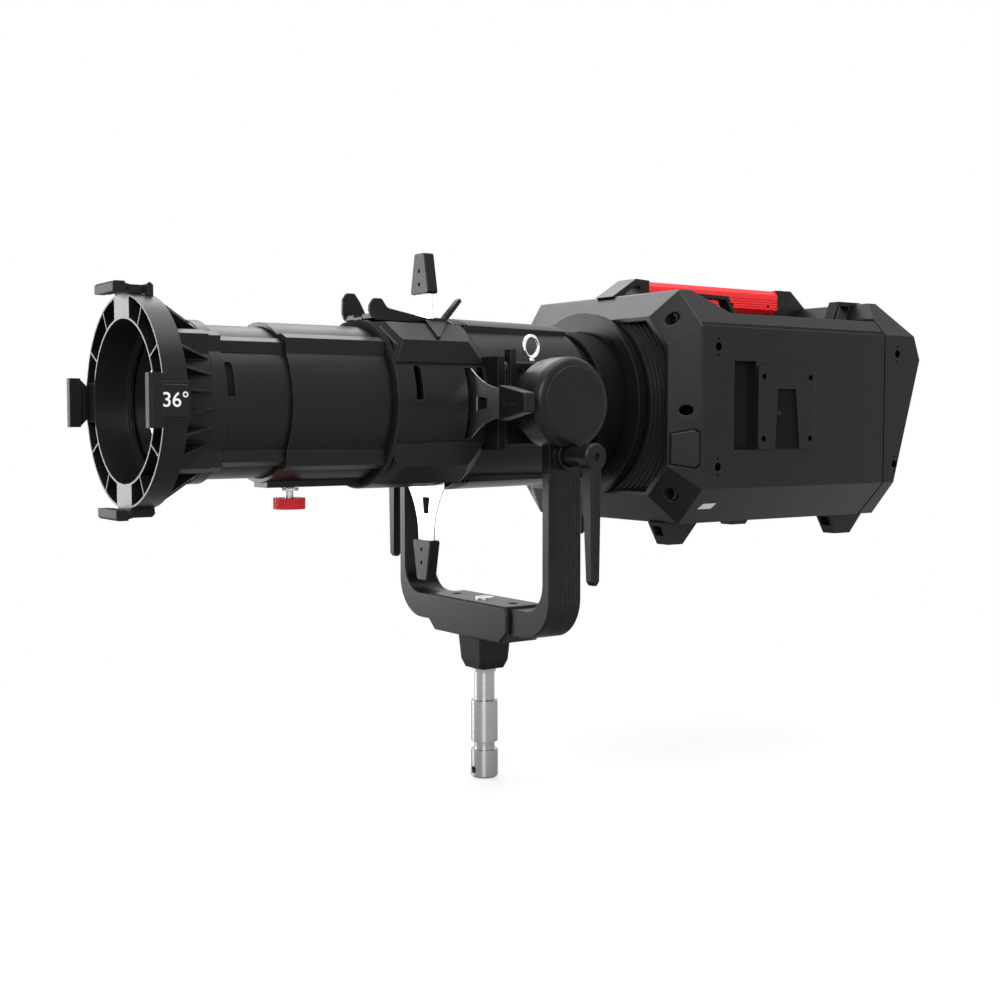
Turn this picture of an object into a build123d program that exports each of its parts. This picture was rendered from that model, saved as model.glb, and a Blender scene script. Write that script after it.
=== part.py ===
"""Ellipsoidal spotlight: profile-spot barrel, LED lamp head and yoke on a spigot.

Frame: origin at the middle of the spigot's full-diameter stretch, +Z up, the
beam leaves along -Y, the "near" side is +X. All lengths are millimetres.
Heights named *_Z below are measured from the lens axis, which is also the
height of the tilt axis; AXIS_Z lifts them into the frame.
"""
import os
from math import cos, radians, sin

from build123d import *

os.makedirs("parts", exist_ok=True)

# ------------------------------------------------------------------ clearances
RUN = 0.05              # radial clearance of a shaft in its bearing
SLIDE = 0.5             # clearance round the sliding lens tube
GAP = 0.4               # clearance between parts that move past each other
SEAT = 0.05             # clearance of a part seated in its own recess

# ---------------------------------------------------------------------- spigot
SPIGOT_R = 14.2875      # 1 1/8 inch junior spigot
SPIGOT_MAIN = 43.6      # full-diameter stretch, centred on the origin
SPIGOT_NECK_R = 10.9
SPIGOT_NECK = 31.2      # neck above the full-diameter stretch
SPIGOT_COLLAR_R = 12.6
SPIGOT_COLLAR = 4.3
SPIGOT_GROOVE = 8.9     # locking groove below the main stretch
SPIGOT_FOOT = 29.4      # full-diameter foot below the groove
SPIGOT_PIN_R = 4.0      # cross hole for a safety pin
SPIGOT_BOLT_R = 6.0

# ------------------------------------------------------------------------ yoke
AXIS_Z = 335.0          # lens axis above the origin
ARM_IN = 126.5          # inner face of an arm, from the middle
ARM_T = 12.0            # arm thickness
ARM_W = 40.0            # arm width, along the beam
ARM_TOP_Z = -66.0       # top of the bar, where the tilt housings start
BEAM_Z = -207.0         # top of the yoke's bottom beam
BEAM_T = 27.0           # depth of the bottom beam
BEND_IN = 30.0          # inner and outer radii of the bends
BEND_OUT = 42.0
GROOVES = 8             # decorative grooves down the outside of each arm
GROOVE_PITCH = 3.2
GROOVE_W = 1.2
GROOVE_T = 1.0
GROOVE_Y = 5.5          # middle of the grooves, along the beam
GROOVE_END = 8.0        # the grooves stop this far below the tilt housing

BLOCK_L = 146.0         # saddle block round the beam, along X
BLOCK_W = 49.5
BLOCK_RISE = 2.2        # block above the beam
BLOCK_FALL = 9.5        # block below the beam
BLOCK_BEVEL = 12.0
BLOCK_SCREW_X = 51.5
BLOCK_SCREW_R = 4.0
BOLT_HEAD_R = 10.0
SOCKET_X = 46.0         # socket that holds the spigot
SOCKET_Y = 40.0

# ------------------------------------------------------------ tilt and its lock
HOUSING_R = 45.0        # round housing at the top of each arm
HOUSING_OUT = 153.4     # its outer face, from the middle
SHOULDER = 9.0          # rounding of the housing's outer edge
CAP_R = 36.0
CAP_T = 0.8
TRUNNION_R = 12.0       # tilt shaft
BUSH_T = 2.5
DISC_R = 44.0           # brake disc of the trunnion
DISC_T = 9.0
LOCK_Z = -51.0          # axis of the lock lever
LOCK_BOSS_R = 14.0
LOCK_SCREW_R = 5.0
LEVER_HEAD_R = 13.0
LEVER_IN = 172.0        # inner face of the lever's head
LEVER_T = 14.0
LEVER_L = 123.0         # lock axis to the lever's tip
LEVER_SKEW = 7.0        # half-width of the lever at its root
LEVER_TIP = 5.0

# ------------------------------------------------------------------ lens tube
RING_R = 95.7           # colour-frame ring
RING_BORE = 73.4
RING_FRONT = -391.6
RING_T = 21.4
RING_RIM = 2.0
RING_POCKET = 14.0
RING_WEB = 1.6
HUB_END = -336.5        # rear face of the ring's hub
HUB_R = 74.5
FIN_T = 2.2
TUBE_R = 71.0           # sliding lens tube
TUBE_WALL = 3.0
LINER_T = 0.8           # light trap behind the tube's vents
TUBE_REAR = -205.0
RIDGE_X = 57.0          # four longitudinal ridges on the tube
RIDGE_Z = 54.0
RIDGE_FOOT = 44.0
FOCUS_TRAVEL = 55.0
FRONT_LENS_Y = -352.0
REAR_LENS_Y = -232.0
TAB_REACH = 16.0        # colour-frame hooks stand this far in front of the ring
TAB_BAR = 11.0          # depth of a hook's cross bar
TAB_W = 46.0
TAB_STEM = 32.0
TAB_H = 7.0             # hook's thickness outside the ring

# ------------------------------------------------------------------ sleeve
SLEEVE_WALL = 4.0
SLEEVE_FRONT = -261.5
SLEEVE_REAR = -158.5
KNOB_Y = -228.5
KNOB_R = 15.4
KNOB_H = 10.7
KNOB_FLUTES = 28
KNOB_Z = -90.7          # top of the knob's grip
KNOB_STEM_R = 4.0
RAIL_W = 28.0
RAIL_T = 4.5

# ------------------------------------------------------------------ gate
GATE_R = 84.0
GATE_WALL = 5.0
GATE_FRONT = -158.0
GATE_REAR = -52.0
GATE_BEVEL = 22.0       # length of the bevels at the rear of the bands
BAND_R = 98.5           # reach of the bands from the lens axis
VENT_Y = (-132.0, -59.0)            # upright vents in each side of the gate
VENT_Z = (3.0, 36.0)
VENT_W = 8.0
BAND_X = 77.0           # flat bands at the corners of the gate housing
BAND_TOP_Z = 60.0
BAND_LOW_Z = 39.0
SHOULDER_RUN = (27.0, 18.0)         # slope from a band to the top, inwards and up
SHUTTER_Y = -71.7       # middle of the shutter pack
SHUTTER_PITCH = 1.8
BLADE_T = 1.0
BLADE_HALF = 34.0       # half-width inside the gate
NECK_HALF = 13.8
TANG_HALF = 10.0        # blade's tang inside the handle
FLARE = 54.0            # handle's foot to the blade's full width
BLADE_L = 103.0         # inner edge to the foot of the handle
HANDLE_L = 41.0
HANDLE_T = 12.2
HANDLE_ROOT = 17.0      # half-widths of a handle
HANDLE_TIP = 9.0
SHUTTER_REST = {"top": 111.4, "bottom": 139.0, "near": 133.8, "far": 128.0}
APERTURE_R = 37.5
SLOT_FRONT = -138.0     # drop-in accessory slot
SLOT_REAR = -96.0
SLOT_HALF = 22.0
COVER_HALF = 28.0       # hinged cover of the accessory slot
COVER_REAR = -79.0
COVER_SEAT = 80.6       # flat that the cover rests on
COVER_PIN_Y = -149.0
COVER_PIN_Z = 84.5
COVER_PIN_R = 1.6
LUG_HALF = 8.0
EAR_T = 3.0             # ears of the cover, tall on the far side
EAR_NEAR = 102.0
EAR_FAR = 110.5
TAB_X = 47.0            # finger tab of the cover

# ------------------------------------------------------------------ rear barrel
REAR_R = 82.0
REAR_WALL = 4.0
REAR_START = -52.0
REAR_END = 78.0
TAIL_R = 64.0
TAIL_END = 112.0
SADDLE_Y = (-44.0, 54.0)            # saddles of the tilt shafts, along the beam
SADDLE_Z = 42.0
SADDLE_OUT = 96.0
POST_Y = (-51.5, -43.5)             # upright in front of a saddle
POST_Z = 46.0
STRIP_Y = (-38.5, -31.5)            # raised strip on a saddle
STRIP_TOP = 53.0
VENT_HALF = 38.0        # half-width of the ribbed vent covers
VENT_R = 88.0
VENT_FRONT = -65.0      # they reach over the rear of the gate
VENT_RIBS = 4
VENT_PITCH = 4.2
CELL_Y = 20.0           # front of the condenser cell
CELL_R = 50.0
FLANGE_R = 80.0         # bayonet flange
FLANGE_T = 8.0
FLANGE_FINS = 40
FLANGE_RIM = 6.0        # thickness of the flange's rim
BAYONET_R = 70.0
BAYONET_LUG_R = 78.0
EYE_X = 88.0            # swivelling safety eye
EYE_Y = -4.5
EYE_Z = 56.5
EYE_R = 10.5
EYE_WIRE_R = 2.2
EYE_STEM_R = 2.0
EYE_TURN = 11.7

# ------------------------------------------------------------------ lamp head
MOUNT_R = 101.0         # lamp's mount ring
MOUNT_FRONT = 127.6
MOUNT_BACK = 137.0
MOUNT_STEP = 130.6      # seat of the flange inside the ring
MOUNT_BORE = 81.0
NECK_R = 90.0
CONE_R = 125.0          # wide end of the stepped cone behind the ring
CONE_FRONT = 141.0
CONE_BACK = 158.0
CONE_STEPS = 7
NOTCH_R = 88.0          # bayonet notches in the mount ring
NOTCH_HALF = 17.0       # half of a notch, in degrees

FACE_Y = 140.0          # front rim of the lamp head
BEND_Y = 166.0          # where its front bevels end
CROWN_Y = 183.0         # where the high front part ends
SLOPE_Y = 219.0         # where the slope behind it ends
PANEL_END = 453.0       # seam of the rear bezel
LAMP_HALF = 156.0
CROWN_TOP = 120.4
LAMP_TOP = 97.0
LAMP_BOTTOM = -126.0
SHOULDER_Z = 81.0       # where the upper bevel meets the side
SKIRT_Z = -88.0         # where the lower bevel meets the side
FACE = ((LAMP_HALF - 55, CROWN_TOP - 28.4), (LAMP_HALF - 25, 61.0), (LAMP_HALF - 25, -64.0),
        (LAMP_HALF - 55, LAMP_BOTTOM + 30))
CROWN = ((LAMP_HALF - 36.3, CROWN_TOP), (LAMP_HALF, SHOULDER_Z), (LAMP_HALF, SKIRT_Z),
         (LAMP_HALF - 36, LAMP_BOTTOM))
PANEL = ((LAMP_HALF - 15, LAMP_TOP), (LAMP_HALF, SHOULDER_Z), (LAMP_HALF, SKIRT_Z),
         (LAMP_HALF - 36, LAMP_BOTTOM))
LIP = 4.8               # thickness of the front rim
CONE_INSET = LIP + GAP  # how far the cone is trimmed inside the rim
SKIN = 4.0
PAD_T = 9.0             # extra wall behind the recessed pockets
BEZEL = ((PANEL_END, 101.0), (PANEL_END + 12, CROWN_TOP), (PANEL_END + 25, CROWN_TOP),
         (PANEL_END + 50, 82.0), (PANEL_END + 61, 54.0), (PANEL_END + 39, -114.0),
         (PANEL_END + 34, LAMP_BOTTOM), (PANEL_END, LAMP_BOTTOM))
CORNER = ((LAMP_HALF, PANEL_END + 61, 54.0), (LAMP_HALF, PANEL_END + 16, -92.0),
          (LAMP_HALF - 43, PANEL_END + 27, LAMP_BOTTOM))    # three points of the bezel's corner bevel
SEAM = 2.4              # groove between the housing and the bezel
SEAM_T = 2.5
BOLT_X = LAMP_HALF - 32                 # cowl bolts
BOLT_SEAT = BEND_Y - 8
BOLT_TOP_Z = 89.0
BOLT_LOW_Z = -94.0
BOLT_R = 5.5
BUTTON_Z = -46.0        # release button of the lamp's mount
BUTTON_W = 30.0
BUTTON_H = 40.0
BUTTON_T = 6.0
BUTTON_TRAVEL = 3.0
BUTTON_GAP = 0.9
BUTTON_RISE = 2.5

TROUGH_HALF = 60.0      # hand room under the carry handle
TROUGH_Z = 78.0
TROUGH_Y = (240.0, 432.0)
HANDLE_Z = 140.0
HANDLE_LOW = 112.0
HANDLE_Y = (217.0, 424.0)
HANDLE_HALF = 15.0
HANDLE_RIBS = 6
GRIP_GROOVES = 4
PLATE_Y = 287.5         # quick-fit plate on each side of the lamp
PLATE_Z = -3.0
PLATE_SIZE = 88.0
PLATE_T = 4.0
PLATE_SCREW_Y = 72.0
PLATE_SCREW_Z = 66.0
PLATE_SCREW_R = 2.6
PLATE_SLOT = 3.2        # depth of the wedge slot in the plate
POCKET_Y = (211.0, 244.0)
POCKET_Z = (-48.0, 46.0)
POCKET_T = 6.0
POCKET_SLOT = (236.0, 244.0)        # deeper slot at the pocket's rear
POCKET_DEEP = 9.0
PANEL_HOLE_R = 4.5      # screw holes of the panel and the bezel
PANEL_HOLES = ((188.0, 60.0), (188.0, -65.0), (474.0, 60.0), (471.0, -67.0))

FOOT_X = LAMP_HALF - 70
FOOT_Z = -150.5
FOOT_SIZE = (24.0, 18.0)            # width at the root and at the tip
FEET = ((164.0, 216.0, 175.0, 196.0), (429.0, 486.0, 441.0, 467.0))
FOOT_WINDOW = 11.0      # height of the windows through a foot
GUARD_X = LAMP_HALF - 63
GUARD_W = 14.0

BULKHEAD_T = 4.0
LIGHT_R = 60.0          # opening of the bulkhead
BOARD_SIZE = 140.0
BOARD_T = 9.0
EMITTER_R = 32.0
SINK_W = 2 * LAMP_HALF - 88
SINK_H = 150.0
SINK_Z = -30.0
SINK_BASE = 10.0
SINK_L = 160.0
SINK_FINS = 24
FAN_Z = -30.0
FAN_R = 60.0
FAN_BLADES = 9
FAN_FRONT = 464.0
FAN_BACK = 481.0
FAN_SHAFT_R = 3.0
WINDOW_W = 160.0        # rear air opening
WINDOW_H = 128.0
INLET_X = -(LAMP_HALF - 52)
INLET_Z = -20.0
INLET_R = 13.0

LENS_AXIS = Axis((0, 0, AXIS_Z), (0, 1, 0))
TILT_AXIS = Axis((0, 0, AXIS_Z), (1, 0, 0))


# ------------------------------------------------------------------ helpers
def across(y):
    """Section plane across the beam: x to the near side, y up, extrudes forwards."""
    return Plane(origin=(0, y, AXIS_Z), x_dir=(1, 0, 0), z_dir=(0, -1, 0))


def beside(x):
    """Side view plane: x along +Y, y up, extrudes towards the near side."""
    return Plane(origin=(x, 0, AXIS_Z), x_dir=(0, 1, 0), z_dir=(1, 0, 0))


def level(z):
    """Horizontal plane at a height measured from the lens axis."""
    return Plane.XY.offset(AXIS_Z + z)


def keep(piece, name):
    """Label a finished piece and write its STEP file."""
    piece.part.label = name
    export_step(piece.part, f"parts/{name}.step")


def polygon(*points):
    """Closed face through points, inside a sketch."""
    Polygon(*points, align=None)


def radial(angle):
    """Plane through the lens axis: x along +Y, y outwards at an angle from the near side."""
    a = radians(angle)
    return Plane(origin=(0, 0, AXIS_Z), x_dir=(0, 1, 0), z_dir=(sin(a), 0, -cos(a)))


def ridged(radius, x, low, top, shoulder, grow=0.0):
    """Round section with a block at each of its four corners, inside a sketch."""
    Circle(radius + grow)
    for sx in (1, -1):
        for sz in (1, -1):
            Polygon(
                (0, 0), (sx * (x + grow), sz * low), (sx * (x + grow), sz * (top + grow)),
                (sx * (x + grow - shoulder[0]), sz * (top + grow + shoulder[1])),
                (0, sz * (top + grow + shoulder[1])), align=None,
            )


def tube_section(grow=0.0):
    """Section of the sliding lens tube, or of what surrounds it."""
    ridged(TUBE_R, RIDGE_X, RIDGE_FOOT, RIDGE_Z, (9, 4), grow)


def gate_section(grow=0.0):
    """Section of the gate housing."""
    ridged(GATE_R, BAND_X, BAND_LOW_Z, BAND_TOP_Z, SHOULDER_RUN, grow)


def upright_vent(x, y, heights, reach):
    """Cut an upright opening with a round top through a side wall."""
    with BuildSketch(beside(x)) as opening:
        with Locations((y, (heights[0] + heights[1] - VENT_W / 2) / 2)):
            Rectangle(VENT_W, heights[1] - heights[0] - VENT_W / 2)
        with Locations((y, heights[1] - VENT_W / 2)):
            Circle(VENT_W / 2)
    extrude(opening.sketch, amount=reach, mode=Mode.SUBTRACT)


def turned(*profile, axis=LENS_AXIS, mode=Mode.ADD):
    """Solid of revolution from points given as (place along the beam axis, radius)."""
    with BuildSketch(beside(0)) as section:
        Polygon(*profile, align=None)
    revolve(section.sketch, axis=axis, mode=mode)


# ------------------------------------------------------------------ spigot
neck_low = SPIGOT_MAIN / 2 + 1.1
neck_top = neck_low + SPIGOT_NECK - 1.1
spigot_top = neck_top + SPIGOT_COLLAR
groove_low = -SPIGOT_MAIN / 2 - SPIGOT_GROOVE
spigot_low = groove_low - SPIGOT_FOOT
pin_z = spigot_low + 8.0
bore_low = neck_low + 6.0

with BuildPart() as spigot:
    with BuildSketch(Plane.XZ):
        polygon(
            (0, spigot_low), (SPIGOT_R, spigot_low), (SPIGOT_R, groove_low),
            (SPIGOT_NECK_R, groove_low + 0.8), (SPIGOT_NECK_R, -SPIGOT_MAIN / 2 - 0.8),
            (SPIGOT_R, -SPIGOT_MAIN / 2), (SPIGOT_R, SPIGOT_MAIN / 2),
            (SPIGOT_NECK_R, neck_low), (SPIGOT_NECK_R, neck_top),
            (SPIGOT_COLLAR_R, neck_top), (SPIGOT_COLLAR_R, spigot_top), (0, spigot_top),
        )
    revolve(axis=Axis.Z)
    chamfer(edges().group_by(Axis.Z)[0], 1.5)
    with Locations(Plane(origin=(0, 0, pin_z), z_dir=(0, -1, 0))):
        Hole(SPIGOT_PIN_R)
    with BuildSketch(Plane.XY.offset(spigot_top)):
        Circle(SPIGOT_BOLT_R + SEAT)
    extrude(amount=-(spigot_top - bore_low), mode=Mode.SUBTRACT)
keep(spigot, "spigot")

# ------------------------------------------------------------------ yoke
arm_out = ARM_IN + ARM_T
beam_low = BEAM_Z - BEAM_T
block_top = BEAM_Z + BLOCK_RISE
block_low = beam_low - BLOCK_FALL
socket_low = spigot_top - AXIS_Z
tenon_h = 14.0
tenon_r = 4.0

with BuildPart() as yoke_bar:
    with BuildSketch(across(ARM_W / 2)) as outline:
        polygon(
            (arm_out, ARM_TOP_Z), (ARM_IN, ARM_TOP_Z), (ARM_IN, BEAM_Z), (-ARM_IN, BEAM_Z),
            (-ARM_IN, ARM_TOP_Z), (-arm_out, ARM_TOP_Z), (-arm_out, beam_low), (arm_out, beam_low),
        )
        fillet(outline.vertices().group_by(Axis.Y)[0], BEND_OUT)
        fillet(outline.vertices().filter_by_position(Axis.Y, BEAM_Z - 1, BEAM_Z + 1), BEND_IN)
    extrude(amount=ARM_W)
    chamfer(faces().sort_by(Axis.Y)[0].edges(), 1.2)
    chamfer(faces().sort_by(Axis.Y)[-1].edges(), 1.2)
    for i in range(GROOVES):
        with BuildSketch(across(GROOVE_Y + (i - (GROOVES - 1) / 2) * GROOVE_PITCH + GROOVE_W / 2)):
            for reach, kind in ((0.0, Mode.ADD), (GROOVE_T, Mode.SUBTRACT)):
                with Locations((0, beam_low + reach)):
                    RectangleRounded(2 * (arm_out - reach), 8 * BEND_OUT, BEND_OUT - reach,
                                     align=(Align.CENTER, Align.MIN), mode=kind)
            Rectangle(4 * ARM_IN, 2 * (GROOVE_END - ARM_TOP_Z), mode=Mode.SUBTRACT)
            Rectangle(BLOCK_L + 12, 16 * BEND_OUT, mode=Mode.SUBTRACT)
        extrude(amount=GROOVE_W, mode=Mode.SUBTRACT)
    for side in (1, -1):
        with Locations((side * (ARM_IN + ARM_T / 2), 0, AXIS_Z + ARM_TOP_Z)):
            Cylinder(tenon_r, tenon_h, mode=Mode.SUBTRACT)
    with Locations((0, 0, AXIS_Z + BEAM_Z - BEAM_T / 2)):
        Cylinder(SPIGOT_BOLT_R + SEAT, BEAM_T + 1, mode=Mode.SUBTRACT)
    with BuildSketch(level(BEAM_Z)):
        with GridLocations(2 * BLOCK_SCREW_X, 0, 2, 1):
            Circle(BLOCK_SCREW_R + SEAT)
    extrude(amount=-BEAM_T * 0.7, mode=Mode.SUBTRACT)
keep(yoke_bar, "yoke_bar")

with BuildPart() as yoke_block:
    with BuildSketch(across(BLOCK_W / 2)) as outline:
        half_l = BLOCK_L / 2
        polygon(
            (half_l - BLOCK_BEVEL, block_low), (half_l + 1.5, block_low + BLOCK_BEVEL),
            (half_l + 1.5, block_top - 8), (half_l - 1.5, block_top), (-half_l + 1.5, block_top),
            (-half_l - 1.5, block_top - 8), (-half_l - 1.5, block_low + BLOCK_BEVEL),
            (-half_l + BLOCK_BEVEL, block_low),
        )
    extrude(amount=BLOCK_W)
    chamfer(faces().sort_by(Axis.Y)[0].edges(), 2.0)
    chamfer(faces().sort_by(Axis.Y)[-1].edges(), 2.0)
    with BuildSketch(Plane.YZ.offset(-BLOCK_L)):
        with Locations((0, AXIS_Z + BEAM_Z - BEAM_T / 2)):
            Rectangle(ARM_W + 2 * SEAT, BEAM_T + 2 * SEAT)
    extrude(amount=2 * BLOCK_L, mode=Mode.SUBTRACT)
    with BuildSketch(level(block_top)):
        with GridLocations(2 * BLOCK_SCREW_X, 0, 2, 1):
            Circle(BLOCK_SCREW_R + SEAT)
        Circle(BOLT_HEAD_R + SEAT)
    extrude(amount=-BLOCK_RISE - 1, mode=Mode.SUBTRACT)
    with BuildSketch(level(beam_low)):
        Circle(SPIGOT_BOLT_R + SEAT)
    extrude(amount=-BLOCK_FALL - 1, mode=Mode.SUBTRACT)
keep(yoke_block, "yoke_block")

with BuildPart() as spigot_socket:
    with BuildSketch(level(block_low)):
        RectangleRounded(SOCKET_X, SOCKET_Y, 5)
    with BuildSketch(level((block_low + 3 * socket_low) / 4)):
        RectangleRounded(SOCKET_X - 4, SOCKET_Y - 4, 5)
    with BuildSketch(level(socket_low)):
        RectangleRounded(SOCKET_X - 11, SOCKET_Y - 9, 6)
    loft(ruled=True)
    with Locations((0, 0, AXIS_Z + (block_low + socket_low) / 2)):
        Cylinder(SPIGOT_BOLT_R + SEAT, 100, mode=Mode.SUBTRACT)
keep(spigot_socket, "spigot_socket")

with BuildPart() as yoke_screws:
    with BuildSketch(level(block_top + 1.6)):
        Circle(BOLT_HEAD_R)
    extrude(amount=-BLOCK_RISE - 1.6)
    with BuildSketch(level(block_top + 1.6)):
        Rectangle(2 * BOLT_HEAD_R + 2, 2.2, rotation=25)
    extrude(amount=-1.2, mode=Mode.SUBTRACT)
    with BuildSketch(level(BEAM_Z)):
        Circle(SPIGOT_BOLT_R)
    extrude(amount=-(BEAM_Z + AXIS_Z - bore_low) + 1)
    with BuildSketch(level(block_top)):
        with GridLocations(2 * BLOCK_SCREW_X, 0, 2, 1):
            Circle(BLOCK_SCREW_R)
            RegularPolygon(BLOCK_SCREW_R * 0.55, 6, mode=Mode.SUBTRACT)
    extrude(amount=-4.0)
    with BuildSketch(level(block_top - 4.0)):
        with GridLocations(2 * BLOCK_SCREW_X, 0, 2, 1):
            Circle(BLOCK_SCREW_R)
    extrude(amount=-BEAM_T * 0.5)
keep(yoke_screws, "yoke_screws")

# ------------------------------------------------------------------ tilt housings
bush_r = TRUNNION_R + RUN + BUSH_T
shoe_x = ARM_IN + 0.5


def tilt_housing(side, name):
    """Round housing on top of an arm; it holds the bush, the lock and the cap."""
    with BuildPart() as housing:
        with BuildSketch(beside(side * ARM_IN)):
            Circle(HOUSING_R)
        extrude(amount=side * (HOUSING_OUT - ARM_IN))
        rim = housing.edges().filter_by(GeomType.CIRCLE).sort_by(Axis.X)[-1 if side > 0 else 0]
        fillet(rim, SHOULDER)
        with BuildSketch(beside(side * ARM_IN)):
            with Locations((0, ARM_TOP_Z / 2)):
                Rectangle(ARM_W, -ARM_TOP_Z)
        extrude(amount=side * ARM_T)
        with BuildSketch(beside(side * ARM_IN)):
            with Locations((0, LOCK_Z)):
                Circle(LOCK_BOSS_R)
        extrude(amount=side * (ARM_T + 7.5))
        with BuildSketch(beside(side * (ARM_IN + ARM_T + 7.5))):
            with Locations((0, LOCK_Z)):
                Circle(LOCK_BOSS_R - 3)
        extrude(amount=-side * 4.5, mode=Mode.SUBTRACT)
        with BuildSketch(beside(side * (ARM_IN + ARM_T + 3.0))):
            with Locations((0, LOCK_Z)):
                Circle(LOCK_BOSS_R - 3)
        extrude(amount=side * HOUSING_R, mode=Mode.SUBTRACT)
        with BuildSketch(beside(side * ARM_IN)):
            with Locations((0, LOCK_Z)):
                Circle(LOCK_SCREW_R + RUN)
        extrude(amount=side * (ARM_T + 9), mode=Mode.SUBTRACT)
        with BuildSketch(beside(side * ARM_IN)):
            Circle(bush_r + SEAT)
        extrude(amount=side * (HOUSING_OUT - ARM_IN), mode=Mode.SUBTRACT)
        with BuildSketch(beside(side * HOUSING_OUT)):
            Circle(CAP_R - 3)
        extrude(amount=-side * 8.0, mode=Mode.SUBTRACT)
        with BuildSketch(beside(side * ARM_IN)):
            with Locations((0, LOCK_Z)):
                Rectangle(18 + 2 * GAP, 20 + 2 * GAP)
        extrude(amount=side * 5.0, mode=Mode.SUBTRACT)
        with BuildSketch(level(ARM_TOP_Z)):
            with Locations((side * (ARM_IN + ARM_T / 2), 0)):
                Circle(tenon_r - 2 * SEAT)
        extrude(amount=-tenon_h / 2 + SEAT)
    keep(housing, name)


tilt_housing(1, "tilt_housing_near")
tilt_housing(-1, "tilt_housing_far")

with BuildPart() as tilt_caps:
    for side in (1, -1):
        with BuildSketch(beside(side * HOUSING_OUT)):
            Circle(CAP_R)
        extrude(amount=side * CAP_T)
        with BuildSketch(beside(side * HOUSING_OUT)):
            Circle(CAP_R - 3 - SEAT)
        extrude(amount=-side * 3.0)
    rims = tilt_caps.edges().filter_by(GeomType.CIRCLE)
    chamfer([rims.sort_by(Axis.X)[0], rims.sort_by(Axis.X)[-1]], CAP_T / 2)
keep(tilt_caps, "tilt_caps")

with BuildPart() as tilt_bushes:
    for side in (1, -1):
        with BuildSketch(beside(side * ARM_IN)):
            Circle(bush_r)
            Circle(TRUNNION_R + RUN, mode=Mode.SUBTRACT)
        extrude(amount=side * (HOUSING_OUT - 8.0 - ARM_IN))
keep(tilt_bushes, "tilt_bushes")

with BuildPart() as brake_shoes:
    for side in (1, -1):
        with BuildSketch(beside(side * shoe_x)):
            with Locations((0, LOCK_Z)):
                Rectangle(18, 20)
        extrude(amount=side * 4.2)
keep(brake_shoes, "brake_shoes")


def tilt_lever(side, name):
    """Lock lever: a screw through the housing, a round head and a tapered arm."""
    with BuildPart() as lever:
        with BuildSketch(beside(side * (ARM_IN + 5.3))):
            with Locations((0, LOCK_Z)):
                Circle(LOCK_SCREW_R)
        extrude(amount=side * (LEVER_IN - ARM_IN - 5.3))
        with BuildSketch(beside(side * (arm_out + 7.5 - 4.0))):
            with Locations((0, LOCK_Z)):
                Circle(LOCK_BOSS_R - 4)
        extrude(amount=side * (LEVER_IN - arm_out - 3.5))
        with BuildSketch(beside(side * LEVER_IN)) as outline:
            with Locations((0, LOCK_Z)):
                Circle(LEVER_HEAD_R)
            polygon(
                (-LEVER_SKEW, LOCK_Z), (LEVER_SKEW, LOCK_Z), (LEVER_TIP, LOCK_Z - LEVER_L + 4),
                (LEVER_TIP - 3, LOCK_Z - LEVER_L), (3 - LEVER_TIP, LOCK_Z - LEVER_L),
                (-LEVER_TIP, LOCK_Z - LEVER_L + 4),
            )
        extrude(amount=side * LEVER_T)
        chamfer(lever.faces().sort_by(Axis.X)[-1 if side > 0 else 0].edges(), 1.6)
        with BuildSketch(beside(side * (LEVER_IN + LEVER_T))):
            with Locations((0, LOCK_Z)):
                Circle(4.0)
        extrude(amount=-side * 3.0, mode=Mode.SUBTRACT)
        with BuildSketch(Plane(origin=(side * LEVER_IN, 0, AXIS_Z), x_dir=(1, 0, 0), z_dir=(0, -1, 0))):
            polygon((0, LOCK_Z - LEVER_HEAD_R), (0, LOCK_Z - LEVER_L - 1), (side * 5, LOCK_Z - LEVER_L - 1))
        extrude(amount=LEVER_HEAD_R * 2, both=True, mode=Mode.SUBTRACT)
    keep(lever, name)


tilt_lever(1, "tilt_lever_near")
tilt_lever(-1, "tilt_lever_far")

# ------------------------------------------------------------------ trunnions
disc_in = ARM_IN - 1.5 - DISC_T

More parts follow.
